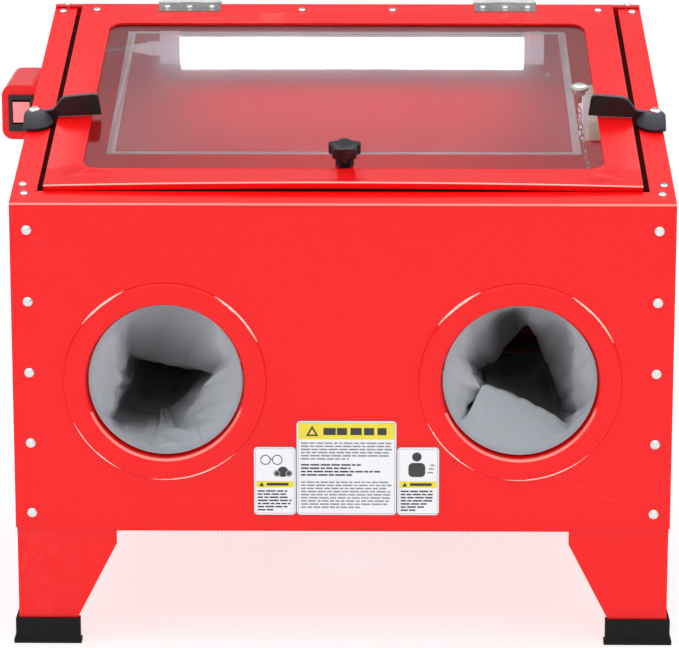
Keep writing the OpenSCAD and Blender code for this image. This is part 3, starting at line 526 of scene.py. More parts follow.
def softCopy(node, name, finish, width, segments=2, heavy=None, heavyWidth=0.0, angle=32):
    # a copy of a CAD body with its faces joined and its edges rounded
    source = nodes[node]
    piece = bpy.data.objects.new(name, source.data.copy())
    scene.collection.objects.link(piece)
    pickOnly(piece)
    bpy.ops.object.mode_set(mode="EDIT")
    bpy.ops.mesh.select_all(action="SELECT")
    bpy.ops.mesh.remove_doubles(threshold=0.000008)
    bpy.ops.mesh.tris_convert_to_quads(face_threshold=math.radians(0.3), shape_threshold=math.radians(180))
    bpy.ops.object.mode_set(mode="OBJECT")
    mesh = piece.data
    for attribute in [a.name for a in mesh.attributes if a.name.startswith("custom")]:
        mesh.attributes.remove(mesh.attributes[attribute])
    if width:
        mesh.attributes.new("bevel_weight_edge", "FLOAT", "EDGE")
        shaped = bmesh.new()
        shaped.from_mesh(mesh)
        shaped.edges.ensure_lookup_table()
        layer = shaped.edges.layers.float["bevel_weight_edge"]
        most = max(width, heavyWidth)
        for edge in shaped.edges:
            if len(edge.link_faces) != 2 or edge.calc_face_angle(0.0) < math.radians(angle):
                continue
            edge[layer] = width / most
            if heavy and heavy(*[v.co for v in edge.verts]):
                edge[layer] = heavyWidth / most
        shaped.to_mesh(mesh)
        shaped.free()
        bevel = piece.modifiers.new("bevel", "BEVEL")
        bevel.limit_method = "WEIGHT"
        bevel.width = most
        bevel.segments = segments
        bevel.use_clamp_overlap = True
        applyModifiers(piece)
    pickOnly(piece)
    bpy.ops.object.shade_smooth_by_angle(angle=math.radians(38))
    flatten = piece.modifiers.new("flatten", "WEIGHTED_NORMAL")
    flatten.keep_sharp, flatten.weight = True, 90
    applyModifiers(piece)
    setMaterial(piece, finish)
    finishPiece(piece, bodyOf[node], slotOf[node], node)
    return piece


def paintHighlight(piece, isFold, finish="foldHighlightPaint"):
    # painted highlight: a thin bright line of colour along a fold or edge, on the faces that isFold picks by
    # middle and normal
    piece.data.materials.append(finishes[finish])
    for face in piece.data.polygons:
        if isFold(face.center, face.normal):
            face.material_index = len(piece.data.materials) - 1


def finishPiece(piece, body, slot, *replaced):
    if body:
        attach(piece, body)
    if replaced:
        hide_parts(*replaced)


def paintTopHighlight(name, colour, low, high):
    # painted highlight: faces that look up are mixed toward a pale colour, standing for light from above
    material = finishes[name]
    shader = next(n for n in material.node_tree.nodes if n.type == "BSDF_PRINCIPLED")
    under = shader.inputs["Base Color"].links[0].from_socket
    split = material.node_tree.nodes.new("ShaderNodeSeparateXYZ")
    link(material, material.node_tree.nodes.new("ShaderNodeTexCoord").outputs["Normal"], split.inputs[0])
    upward = remap(material, split.outputs["Z"], 0.0, 1.0, low, high)
    link(material, mixColour(material, upward, under, colour), shader.inputs["Base Color"])


# painted highlight on the latches' upward faces
paintTopHighlight("latchPlastic", (0.075, 0.082, 0.105), 0.10, 0.85)


print("painted sheet parts")
folds = {"edge": 0.0005, "corner": 0.0021, "lidCorner": 0.0019, "front": 0.00055, "near": 0.0002}
lidShape = {"halfWidth": 0.2675, "top": 0.005, "from": 0.0285, "to": 0.066, "bow": 0.0036, "across": 14,
            "cutHalf": 0.267, "steps": (0.036, 0.044, 0.052, 0.060, 0.0665), "flange": 0.0312,
            "trim": 0.0046, "sideFrom": 0.2640, "side": 0.0032, "lit": 0.0038, "litTo": 0.0315}
# arm holes; stepArcs are the angles of the painted highlight arcs on the ring's outer step, lipArc the
# angles of the painted lit edge on its inner lip
armHole = {"x": 0.157, "z": 0.243, "stepRadius": 0.0899, "stepWidth": 0.0017, "lipRadius": 0.0742,
           "stepArcs": ((24, 60), (114, 144), (204, 244), (260, 314)), "lipArc": (202, 340)}


def bothAt(measure, a, b):
    return all(measure(*toSlope(p)) < folds["near"] for p in (a, b))


def sideFold(a, b):
    return bothAt(lambda x, s, h: max(abs(abs(x) - cabinet["halfWidth"]), abs(h)), a, b)


def lidFold(a, b):
    onTop = bothAt(lambda x, s, h: abs(h - lidShape["top"]), a, b)
    onSide = bothAt(lambda x, s, h: abs(abs(x) - lidShape["halfWidth"]), a, b)
    onFront = bothAt(lambda x, s, h: abs(s - lidShape["from"]), a, b)
    return (onTop and (onSide or onFront)) or (onSide and onFront)


def frontFold(a, b):
    return bothAt(lambda x, s, h: max(abs(s), abs(h)), a, b)


def slopeNormal(normal):
    c, s = math.cos(slopeAngle), math.sin(slopeAngle)
    return normal.y * c + normal.z * s, -normal.y * s + normal.z * c


# faces along the front fold that take a painted highlight
def onFrontFold(middle, normal):
    x, s, h = toSlope(middle)
    along, out = slopeNormal(normal)
    return max(abs(s), abs(h)) < 0.0035 and 0.50 < out < 0.90 and along < -0.1


# faces along the lid's front fold and flange top that take a painted highlight
def onLidFold(middle, normal):
    x, s, h = toSlope(middle)
    along, out = slopeNormal(normal)
    atFront = s < lidShape["litTo"] and h > lidShape["lit"]
    return atFront and out < 0.985 and along < -0.1 and abs(normal.x) < 0.3


def aroundHole(middle):
    # angle in degrees and distance from the middle of the nearer arm hole
    across = middle.x - cabinet["shiftX"]
    across -= math.copysign(armHole["x"], across)
    up = middle.z - armHole["z"]
    return math.degrees(math.atan2(up, across)) % 360, math.hypot(across, up)


# faces of the ring's outer step, in fixed arcs, that take a painted highlight
def onRingStep(middle, normal):
    angle, radius = aroundHole(middle)
    share = 0
    for low, high in armHole["stepArcs"]:
        if low < angle < high:
            share = math.sin(math.pi * (angle - low) / (high - low))
    inner = armHole["stepRadius"] - armHole["stepWidth"] * share ** 0.5
    return share > 0 and radius > inner and -0.97 < normal.y < -0.08


# faces of the ring's lower inner lip that take a painted lit edge
def onRingLip(middle, normal):
    angle, radius = aroundHole(middle)
    low, high = armHole["lipArc"]
    return low < angle < high and radius < armHole["lipRadius"] and -0.96 < normal.y < -0.15


frontSheet = softCopy("front_panel", "frontPanelSheet", "redPaint", folds["edge"], segments=4,
                      heavy=frontFold, heavyWidth=folds["front"])
# painted highlight along the front panel's top fold
paintHighlight(frontSheet, onFrontFold)
for node in ("rear_panel", "seal_ledge", "hopper_pan", "grate_rails"):
    softCopy(node, node + "Sheet", "redPaint", folds["edge"])
for node in ("side_panel_left", "side_panel_right"):
    softCopy(node, node + "Sheet", "redPaint", folds["edge"], segments=4, heavy=sideFold,
             heavyWidth=folds["corner"])
for node in ("leg_front_left", "leg_front_right", "leg_rear_left", "leg_rear_right"):
    softCopy(node, node + "Sheet", "redPaint", 0.0009, segments=3)
for node in ("foot_front_left", "foot_front_right", "foot_rear_left", "foot_rear_right"):
    softCopy(node, node + "Boot", "blackRubber", 0.0014, segments=3)
for node in ("ring_left", "ring_right"):
    ringTrim = softCopy(node, node + "Trim", "redPaint", 0.0008, segments=3, angle=50)
    # painted highlights: glint arcs on the outer step and a lit edge on the lower inner lip
    paintHighlight(ringTrim, onRingStep, "glintPaint")
    paintHighlight(ringTrim, onRingLip, "foldHighlightPaint")
softCopy("switch_box", "switchBoxShell", "redPaint", 0.0030, segments=5, angle=60)

lidSheet = softCopy("lid_panel", "lidSheet", "redPaint", folds["edge"], segments=4, heavy=lidFold,
                    heavyWidth=folds["lidCorner"])


def cutAt(shaped, place, direction):
    bmesh.ops.bisect_plane(shaped, geom=shaped.verts[:] + shaped.edges[:] + shaped.faces[:], dist=0.00001,
                           plane_co=place, plane_no=direction)


def bowShare(x):
    # 1 on the centreline, falling to 0 at the lid's sides
    return max(1 - (x / lidShape["halfWidth"]) ** 2, 0.0)


def bowLidFront(piece):
    # the foam strip pushes the middle of the lid's front edge up a little
    shaped = bmesh.new()
    shaped.from_mesh(piece.data)
    across, up = Vector((1, 0, 0)), onSlope(0, 1, 0) - onSlope(0, 0, 0)
    out = onSlope(0, 0, 1) - onSlope(0, 0, 0)
    for k in range(1, lidShape["across"]):
        cutAt(shaped, onSlope(lidShape["cutHalf"] * (2 * k / lidShape["across"] - 1), 0, 0), across)
    for s in lidShape["steps"]:
        cutAt(shaped, onSlope(0, s, 0), up)
    cutAt(shaped, onSlope(0, 0, lidShape["lit"]), out)
    shaped.to_mesh(piece.data)
    # painted highlight along the lid's front fold
    paintHighlight(piece, onLidFold, "glintPaint")
    shaped.clear()
    shaped.from_mesh(piece.data)
    for vertex in shaped.verts:
        x, s, h = toSlope(vertex.co)
        reach = min(max((lidShape["to"] - s) / (lidShape["to"] - lidShape["from"]), 0.0), 1.0)
        vertex.co += out * lidShape["bow"] * bowShare(x) * reach
        if s < lidShape["flange"] and h < -0.002 and abs(x) < foamStrip["halfWidth"]:
            vertex.co += out * lidShape["trim"]
        if abs(x) > lidShape["sideFrom"]:
            vertex.co.x -= math.copysign(lidShape["side"], x)
    shaped.to_mesh(piece.data)
    shaped.free()
    pickOnly(piece)
    bpy.ops.object.shade_smooth_by_angle(angle=math.radians(38))


foamStrip = {"from": 0.0310, "to": 0.0370, "low": -0.0040, "high": 0.0034, "halfWidth": 0.262, "cuts": 24}
# foam strips along the lid's sides: partly a seal, partly a dark fill that stands as painted shade in the
# side gaps
sideStrip = {"from": 0.031, "to": 0.470, "low": -0.0045, "high": -0.0006, "in": 0.2652, "out": 0.2694}
bowLidFront(lidSheet)


def addStrip(name, left, right, strip, shape=None):
    # a soft strip that lies along the slope, with rounded edges
    clearSelection()
    start, end, low, high = (strip[key] for key in ("from", "to", "low", "high"))
    middle = onSlope((left + right) / 2, (start + end) / 2, (low + high) / 2)
    bpy.ops.mesh.primitive_cube_add(size=1, location=middle, rotation=(slopeAngle, 0, 0))
    foam = bpy.context.object
    foam.name = name
    foam.scale = (right - left, end - start, high - low)
    bpy.ops.object.transform_apply(location=True, rotation=True, scale=True)
    if shape:
        shape(foam, strip)
    bevel = foam.modifiers.new("bevel", "BEVEL")
    bevel.width, bevel.segments = 0.0009, 3
    applyModifiers(foam)
    bpy.ops.object.shade_smooth_by_angle(angle=math.radians(38))
    setMaterial(foam, "foam")
    finishPiece(foam, "cabinet", slotOf["lid_seal"])


def bowStrip(foam, strip):
    # the strip under the lid's front edge follows the edge's bow
    shaped = bmesh.new()
    shaped.from_mesh(foam.data)
    half, count = strip["halfWidth"], strip["cuts"]
    for k in range(1, count):
        cutAt(shaped, onSlope(-half + 2 * half * k / count, 0, 0), Vector((1, 0, 0)))
    out = onSlope(0, 0, 1) - onSlope(0, 0, 0)
    for vertex in shaped.verts:
        x, s, h = toSlope(vertex.co)
        if h > 0:
            vertex.co += out * 0.7 * lidShape["bow"] * (bowShare(x) - 0.45)
    shaped.to_mesh(foam.data)
    shaped.free()


addStrip("frontFoamStrip", -foamStrip["halfWidth"], foamStrip["halfWidth"], foamStrip, bowStrip)
# the side strips also serve as painted shade in the gaps beside the lid
addStrip("sideFoamShadeLeft", -sideStrip["out"], -sideStrip["in"], sideStrip)
addStrip("sideFoamShadeRight", sideStrip["in"], sideStrip["out"], sideStrip)

print("metal, rubber and plastic parts")
# node, finish, how far its edges are rounded, and in how many steps
for node, finish, width, steps in (
        ("front_screws", "zinc", 0.00025, 2), ("top_screws", "zinc", 0.00025, 2),
        ("rear_screws", "zinc", 0.00025, 1), ("base_bolts", "zinc", 0.0002, 1),
        ("lid_screws", "zinc", 0.00025, 2), ("latch_pivots", "zinc", 0.0003, 2),
        ("chain_bolt", "zinc", 0.0003, 2), ("chain_anchor", "zinc", 0.0003, 1),
        ("hinge_rear", "hingeSteel", 0.0003, 2),
        ("hinge_front", "hingeSteel", 0.0003, 2), ("hopper_outlet", "zinc", 0.0005, 2),
        ("hopper_door", "zinc", 0.0005, 2), ("grate_bars", "grateSteel", 0.0004, 1),
        ("grate_cross_bars", "grateSteel", 0.0004, 1), ("lid_seal", "foam", 0.0008, 2),
        ("lid_knob", "knobPlastic", 0.0010, 3), ("switch_bezel", "blackPlastic", 0.0008, 3),
        ("rocker", "rockerRed", 0.0008, 3), ("exhaust_guard", "blackPlastic", 0.0008, 2),
        ("filter_cap", "whitePlastic", 0.0006, 2), ("filter_element", "filterPaper", 0.0, 1),
        ("lamp_housing", "whiteEnamel", 0.0006, 2), ("lamp_diffuser", "lampOpal", 0.0008, 3),
        ("lamp_end_caps", "whitePlastic", 0.0008, 3), ("lamp_plug", "whitePlastic", 0.0003, 2),
        ("air_inlet", "brass", 0.0005, 2), ("gun_body", "castMetal", 0.0010, 3),
        ("gun_nozzle", "ceramic", 0.0006, 2), ("gun_trigger", "blackPlastic", 0.0006, 2),
        ("window_pane", "clearPane", 0.0005, 2), ("film_frame", "stripFilm", 0.0002, 1)):
    softCopy(node, node + "Part", finish, width, segments=steps)
for node, finish in (("lamp_lead", "leadSheath"), ("air_hose", "hoseRubber"), ("pickup_tube", "clearVinyl")):
    lead = softCopy(node, node + "Run", finish, 0.0)
    pickOnly(lead)
    bpy.ops.object.shade_smooth_by_angle(angle=math.radians(60))

print("latches")
# hub and arm sizes in millimetres, the arm's turn in degrees
latchShape = {"x": 0.2848, "s": 0.180, "hub": 16.7, "cut": 9.8, "skirt": 2.8, "dome": 14.2, "top": 15.1,
              "base": 0.4, "thick": 4.5, "turn": 7, "offset": 5.2, "voxel": 0.00045, "smooth": 6}
# along the arm from the pivot: reach, lower edge, upper edge, in millimetres
armOutline = ((6, 1.5, 12.5), (11, 2.0, 12.6), (15, 2.5, 13.0), (17.4, 6.0, 14.2), (21, 6.2, 18.6),
              (24, 6.2, 22.8), (27.5, 6.2, 25.0), (33, 6.2, 25.7), (45, 6.2, 26.3), (54, 6.2, 26.7),
              (57, 6.2, 26.0), (58.7, 6.2, 23.6), (60.8, 6.2, 7.0))


def spotOn(share, points):
    # the stretch of a list of points that a share of its length falls in, and how far along it
    place = min(max(share, 0), 0.99999) * (len(points) - 1)
    return int(place), place - int(place)


def addLatch(side, node):
    # moulded latch: a low dome with a standing arm that leaves it in an S curve
    clearSelection()
    bpy.ops.mesh.primitive_grid_add(x_subdivisions=72, y_subdivisions=16, size=1)
    arm = bpy.context.object
    turn = math.radians(latchShape["turn"])
    for vertex in arm.data.vertices:
        k, share = spotOn(vertex.co.x + 0.5, armOutline)
        reach, low, high = (p + (q - p) * share for p, q in zip(armOutline[k], armOutline[k + 1]))
        vertex.co = (reach * math.cos(turn), latchShape["offset"] + reach * math.sin(turn),
                     low + (high - low) * (vertex.co.y + 0.5))
    solid = arm.modifiers.new("thick", "SOLIDIFY")
    solid.thickness, solid.offset = latchShape["thick"], 0
    applyModifiers(arm)
    clearSelection()
    bpy.ops.mesh.primitive_uv_sphere_add(segments=72, ring_count=48, radius=1)
    hub = bpy.context.object
    for vertex in hub.data.vertices:
        wide = math.hypot(vertex.co.x, vertex.co.y)
        height = latchShape["skirt"] + latchShape["dome"] * (1 - wide ** 1.8)
        high = min(height, latchShape["top"]) if vertex.co.z > -0.001 else latchShape["base"]
        across = max(vertex.co.x * latchShape["hub"], -latchShape["cut"])
        vertex.co = (across, vertex.co.y * latchShape["hub"], high)
    hub.select_set(True)
    arm.select_set(True)
    bpy.context.view_layer.objects.active = hub
    bpy.ops.object.join()
    latch = bpy.context.object
    latch.name = node + "Grip"
    for vertex in latch.data.vertices:
        x, y, z = (value * mm for value in vertex.co)
        vertex.co = onSlope(side * (latchShape["x"] - x), latchShape["s"] + y, z)
    remesh = latch.modifiers.new("remesh", "REMESH")
    remesh.mode, remesh.voxel_size = "VOXEL", latchShape["voxel"]
    smooth = latch.modifiers.new("smooth", "SMOOTH")
    smooth.factor, smooth.iterations = 0.6, latchShape["smooth"]
    applyModifiers(latch)
    bpy.ops.object.mode_set(mode="EDIT")
    bpy.ops.mesh.select_all(action="SELECT")
    bpy.ops.mesh.normals_make_consistent(inside=False)
    bpy.ops.object.mode_set(mode="OBJECT")
    bpy.ops.object.shade_smooth()
    setMaterial(latch, "latchPlastic")
    finishPiece(latch, bodyOf[node], slotOf[node], node)


addLatch(-1, "latch_left")
addLatch(1, "latch_right")

print("inner film of the window")
filmPiece = {"halfWidth": 0.2060, "start": 0.1135, "end": 0.4125, "lift": -0.0006, "ripple": 0.00025,
             "glowFrom": 0.352, "glowTo": 0.366, "fadeBelow": 0.050, "fadeAbove": 0.055, "glowHalf": 0.195,
             "fadeSide": 0.035}


def rippleAt(x, s):
    # a slow ripple over the film
    return math.sin(x * 61 + 2 * math.sin(s * 37)) * math.cos(s * 83 + x * 19)


def glowAt(x, s):
    # painted lamp light on the film: brightest in a band in front of the strip lamp
    across = min(max((filmPiece["glowHalf"] - abs(x)) / filmPiece["fadeSide"], 0), 1)
    below = (s - filmPiece["glowFrom"]) / filmPiece["fadeBelow"]
    above = (s - filmPiece["glowTo"]) / filmPiece["fadeAbove"]
    strength = 1
    if s < filmPiece["glowFrom"]:
        strength = math.exp(-below * below)
    elif s >= filmPiece["glowTo"]:
        strength = math.exp(-above * above)
    return strength * across * across * (3 - 2 * across)


def addInnerFilm():
    clearSelection()
    middle = (filmPiece["start"] + filmPiece["end"]) / 2
    place = onSlope(0, middle, filmPiece["lift"])
    bpy.ops.mesh.primitive_grid_add(x_subdivisions=36, y_subdivisions=26, size=1, location=place,
                                    rotation=(slopeAngle, 0, 0))
    film = bpy.context.object
    film.name = "innerFilm"
    film.scale = (2 * filmPiece["halfWidth"], filmPiece["end"] - filmPiece["start"], 1)
    bpy.ops.object.transform_apply(location=True, rotation=True, scale=True)
    out = onSlope(0, 0, 1) - onSlope(0, 0, 0)
    for vertex in film.data.vertices:
        x, s, h = toSlope(vertex.co)
        vertex.co += out * filmPiece["ripple"] * rippleAt(x, s)
    # the glow attribute carries the painted lamp light
    glow = film.data.attributes.new("glow", "FLOAT", "POINT")
    for vertex in film.data.vertices:
        x, s, h = toSlope(vertex.co)
        glow.data[vertex.index].value = glowAt(x, s)
    pickOnly(film)
    bpy.ops.object.shade_smooth()
    setMaterial(film, "hazeFilm")
    finishPiece(film, "lid", "film")


addInnerFilm()

print("label")
# how far each layer of print stands out of the front panel
layer = {"edge": 0.00070, "sheet": 0.00078, "line": 0.00084, "band": 0.00086, "bar": 0.00088,
         "disc": 0.00090, "mark": 0.00092, "inset": 0.00096, "core": 0.00098, "top": 0.00104}
label = {"corner": 0.0035, "frame": 0.35, "inner": 1.6, "line": 0.3, "depth": 0.0001, "discSides": 28}
plateParts = []


def keepPrint(piece, finish):
    bpy.ops.object.transform_apply(location=True, rotation=True, scale=True)
    setMaterial(piece, finish)
    plateParts.append(piece)
    return piece


def addPlate(x0, x1, z0, z1, lift, finish, corner=0.0, back=0.0002):
    # a thin plate on the front panel, sizes in millimetres; lift is how far its face stands out
    clearSelection()
    place = inCabinet((x0 + x1) / 2 * mm, -(lift + back) / 2, (z0 + z1) / 2 * mm)
    bpy.ops.mesh.primitive_cube_add(size=1, location=place)
    plate = bpy.context.object
    plate.scale = ((x1 - x0) * mm, lift - back, (z1 - z0) * mm)
    keepPrint(plate, finish)
    if corner:
        bpy.ops.object.mode_set(mode="EDIT")
        bpy.ops.mesh.select_mode(type="EDGE")
        bpy.ops.mesh.select_all(action="DESELECT")
        bpy.ops.object.mode_set(mode="OBJECT")
        for edge in plate.data.edges:
            a, b = (plate.data.vertices[i].co for i in edge.vertices)
            edge.select = abs(a.x - b.x) < 1e-6 and abs(a.z - b.z) < 1e-6
        bpy.ops.object.mode_set(mode="EDIT")
        bpy.ops.mesh.bevel(offset=corner, segments=5, affect="EDGES")
        bpy.ops.object.mode_set(mode="OBJECT")
    return plate


def addRound(x, z, radius, lift, finish, sides):
    # a thin printed disc, or a triangle when it has three sides
    clearSelection()
    place = inCabinet(x * mm, label["depth"] / 2 - lift, z * mm)
    bpy.ops.mesh.primitive_cylinder_add(vertices=sides, radius=radius * mm, depth=label["depth"],
                                        location=place, rotation=(math.pi / 2, 0, 0))
    return keepPrint(bpy.context.object, finish)


def addDisc(x, z, radius, lift, finish):
    addRound(x, z, radius, lift, finish, label["discSides"])


def addTriangle(x, z, size, lift, finish):
    # a plain caution triangle, point up
    mark = addRound(x, z, size, lift, finish, 3)
    top = max(v.co.z for v in mark.data.vertices)
    if sum(1 for v in mark.data.vertices if v.co.z > top - size * mm * 0.2) > 2:
        for vertex in mark.data.vertices:
            vertex.co.z = 2 * z * mm - vertex.co.z
        mark.data.flip_normals()


def addBars(x0, x1, top, count, pitch, tall, finish, seed, ragged=0.12):
    # plain bars stand for the lines of small print
    chance = random.Random(seed)
    for k in range(count):
        z = top - k * pitch
        short = chance.uniform(0, ragged) if k < count - 1 else chance.uniform(0.3, 0.6)
        x, right = x0, x1 - (x1 - x0) * short
        while x < right - 2:
            word = min(chance.uniform(3, 9), right - x)
            addPlate(x, x + word, z - tall / 2, z + tall / 2, layer["bar"], finish, back=0.0007)
            x += word + 1.1


def addPanel(x0, x1, z0, z1):
    # a white panel with a grey edge and a thin line round its inside
    frame, inner, line = label["frame"], label["inner"], label["line"]
    addPlate(x0, x1, z0, z1, layer["edge"], "printGrey", corner=label["corner"])
    addPlate(x0 + frame, x1 - frame, z0 + frame, z1 - frame, layer["sheet"], "printWhite",
             corner=label["corner"] - 0.0003)
    left, right, low, high = x0 + inner, x1 - inner, z0 + inner, z1 - inner
    for a, b, c, d in ((left, right, high - line, high), (left, right, low, low + line),
                       (left, left + line, low, high), (right - line, right, low, high)):
        addPlate(a, b, c, d, layer["line"], "printGrey", back=0.0007)


def addLabel():
    for x0, x1, top in ((-41, 48, 208), (-79, -41.4, 184), (48.4, 86, 184)):
        addPanel(x0, x1, 121, top)
    addPlate(-39.2, 46.2, 191, 206, layer["band"], "printYellow", back=0.0007)
    addTriangle(-27, 197.2, 6.4, layer["inset"], "printBlack")
    addTriangle(-27, 197.2, 3.4, layer["top"], "printYellow")
    for k, wide in enumerate((11, 9, 10, 9, 8)):
        addPlate(-17 + 12 * k, -17 + 12 * k + wide, 195, 201.5, layer["mark"], "printBlack", back=0.0008)
    addBars(-37, 44, 187.5, 6, 2.9, 1.3, "printGrey", 3, ragged=0.04)
    addBars(-37, 34, 167.5, 4, 3.1, 1.4, "printBlack", 5, ragged=0.4)
    addBars(-37, 44, 151.5, 9, 2.9, 1.3, "printGrey", 7, ragged=0.04)
    for x0, seed in ((-79, 11), (48.4, 13)):
        addPlate(x0 + 2.4, x0 + 35.2, 146.5, 152.5, layer["band"], "printYellow", back=0.0007)
        addTriangle(x0 + 7, 148.9, 2.6, layer["inset"], "printBlack")
        addPlate(x0 + 11.5, x0 + 31, 148.2, 150.8, layer["mark"], "printBlack", back=0.0008)
        addBars(x0 + 3.4, x0 + 34, 143.2, 7, 2.9, 1.3, "printBlack", seed, ragged=0.3)
    # safety glasses and a dust mask, drawn plainly
    for x in (-68.5, -58):
        addDisc(x, 172, 4.6, layer["disc"], "printBlack")
        addDisc(x, 172, 3.8, layer["inset"], "printWhite")
    addPlate(-64.6, -61.9, 172.2, 173.2, layer["mark"], "printBlack", back=0.0007)
    addDisc(-53, 161, 4.8, layer["disc"], "printBlack")
    for x in (-58.3, -47.7):
        addDisc(x, 159.5, 3.0, layer["mark"], "printGrey")
        addDisc(x, 159.5, 1.7, layer["core"], "printBlack")
    # a head, shoulders and a jet of air
    addDisc(66, 175, 4.2, layer["disc"], "printBlack")
    addPlate(58.5, 73.5, 156.5, 169.5, layer["disc"], "printBlack", corner=0.0040, back=0.0007)
    for k in range(3):
        addPlate(75.5 + 1.2 * k, 80.5 + 0.6 * k, 160 + 3.4 * k, 161.2 + 3.4 * k, layer["mark"], "printGrey",
                 back=0.0007)
    clearSelection()
    for part in plateParts:
        part.select_set(True)
    bpy.context.view_layer.objects.active = plateParts[0]
    bpy.ops.object.join()
    sheet = bpy.context.object
    sheet.name = "cautionLabel"
    finishPiece(sheet, "cabinet", "label_film", "label")


addLabel()

print("sleeves")
sleeve = {"start": 0.008, "radius": 0.0683, "neckRadius": 0.0677, "neck": 0.0150, "wrist": 0.0400,
          "wristDepth": 0.165, "length": 0.203, "clothThick": 0.0008, "steps": 150, "rows": 96,
          "shares": (0.0, 0.06, 0.36, 0.56, 0.76, 0.93, 1.0)}
# waves and creases of the cloth: how many per metre or turn, and how deep in metres
clothFolds = {"wave": (34, 0.0022), "ripple": (85, 0.0008), "ridge": (2.7, 2.2, 0.0050),
              "small": (7.5, 5, 0.0024), "sharp": 0.75, "slack": 0.95}
# where painted shade darkens the cloth: the depth it starts at and how far it takes, more so in the upper
# half
clothShade = {"from": 0.052, "over": 0.046, "upperFrom": 0.028, "upperOver": 0.040, "upper": 0.34}


def throughHole(side, u, v, depth):
    # a point at some depth on the line of sight through (u, v), both in millimetres from the hole's middle
    onFront = inCabinet(side * armHole["x"] + u * mm, 0, armHole["z"] + v * mm)
    eye = Vector(view["place"])
    return eye + (onFront - eye) * (1 + depth * mm / (onFront.y - eye.y))


def roundHole(side, angle, radius, depth, flat=1.0):
    turn = math.radians(angle)
    return inCabinet(side * armHole["x"] + math.cos(turn) * radius, depth,
                     armHole["z"] + math.sin(turn) * radius * flat)


# each rib runs in from the ring at an angle: the fold's edge, then the shelf behind it, as (u, v, depth)
leftRibs = [
    (-150, (-53, -33, 26), (-50, -34, 60)), (-138, (-48, -43, 30), (-44, -40, 70)),
    (-118, (-30, -50, 34), (-24, -37, 84)), (-98, (-12, -51, 38), (-3, -32, 90)),
    (-70, (-2, -47.5, 40), (-2, -30, 88)), (-45, (9, -44, 38), (1, -28, 86)),
    (-29, (11, -43, 56), (5, -25, 88)), (-12, (24, -22, 54), (20, -15, 84)),
    (4, (37, -4, 50), (34, -3, 72)), (16.5, (48, 8, 34), (45, 7, 66)),
    (24, (44, 10, 62), (40, 10, 88)), (55, (12, 18, 66), (12, 17, 96)),
    (88, (-14, 24, 66), (-14, 22, 98)), (113, (-32, 29, 62), (-30, 27, 96)),
    (121, (-35, 27, 44), (-33, 22, 88)), (160, (-42, 4, 38), (-34, 2, 84)),
    (185, (-47, -14, 32), (-40, -12, 80))]
rightRibs = [
    (-160, (-50, -22, 30), (-46, -20, 66)), (-146, (-52, -36, 26), (-46, -26, 64)),
    (-139, (-46, -28, 22), (-40, -22, 62)), (-131, (-35, -4, 30), (-32, -5, 70)),
    (-112, (-14, -9.5, 40), (-13, -12, 84)), (-90, (8, -21, 42), (7, -23, 88)),
    (-68, (28, -31, 40), (24, -31, 84)), (-48, (43, -38.5, 36), (38, -37, 72)),
    (-26, (60, -22, 26), (51, -31, 68)), (-14, (59, -19, 34), (45, -34, 82)),
    (-2, (54, -6, 38), (40, -24, 84)), (14, (49, 9, 42), (36, -8, 86)),
    (34, (45, 30, 42), (31, 9, 86)), (50, (41, 50, 38), (25, 22, 86)),
    (63, (28, 58, 34), (17, 38, 84)), (82, (8, 63, 30), (7, 58, 80)),
    (94, (-6, 64, 92), (-3, 48, 124)), (107, (-21, 59, 74), (-14, 38, 118)),
    (122, (-29, 32, 62), (-24, 22, 98)), (146, (-46, 22, 48), (-38, 14, 90)),
    (158, (-47, 14, 30), (-41, 10, 74)), (180, (-40, -2, 24), (-36, -3, 66)),
    (189, (-37, -9, 42), (-34, -9, 74))]


def ribPoints(side, rib):
    angle, edge, shelf = rib
    turn = Vector((math.cos(math.radians(angle)), math.sin(math.radians(angle))))
    throat = throughHole(side, 0.55 * edge[0] + 13 * turn.x, 0.55 * edge[1] + 13 * turn.y - 4, 0)
    return [roundHole(side, angle, sleeve["radius"], sleeve["start"]),
            roundHole(side, angle, sleeve["neckRadius"], sleeve["neck"]),
            throughHole(side, *edge),
            throughHole(side, *shelf),
            Vector((throat.x, cabinet["shiftY"] + 0.135, throat.z - 0.012)),
            roundHole(side, angle, sleeve["wrist"], sleeve["wristDepth"]),
            roundHole(side, angle, 0.0385, sleeve["length"], flat=0.0190 / 0.0385)]


def stretchAt(value, marks):
    # which stretch between two marks the value falls in, and its share of that stretch
    k = next(i for i in range(len(marks) - 1) if marks[i + 1] >= value - 1e-6)
    return k, (value - marks[k]) / (marks[k + 1] - marks[k])


# painted shade on the cloth, growing with depth and stronger in the upper half
def shadeAt(spot, upper):
    start = clothShade["from"] - clothShade["upperFrom"] * upper
    over = clothShade["over"] + clothShade["upperOver"] * upper
    deep = (spot.y - cabinet["shiftY"] - start) / over + clothShade["upper"] * upper ** 1.5
    return min(max(deep, 0), 1) ** 0.6


def creaseAt(spot, outward, along, side):
    # slow waves in the cloth, less its inward creases
    (slow, slowDepth), (quick, quickDepth) = clothFolds["wave"], clothFolds["ripple"]
    height = noise.noise(spot * slow + Vector((side * 3, 0, 0))) * slowDepth
    height += noise.noise(spot * quick + Vector((0, side * 5, 0))) * quickDepth
    for name, start, shift in (("ridge", 0, 4), ("small", 3, 9)):
        turns, rows, depth = clothFolds[name]
        place = Vector((outward.x * turns + start, outward.z * turns, along * rows + side * shift))
        height -= depth * abs(noise.noise(place)) ** clothFolds["sharp"]
    return height * math.sin(math.pi * min(along / clothFolds["slack"], 1)) ** 0.7


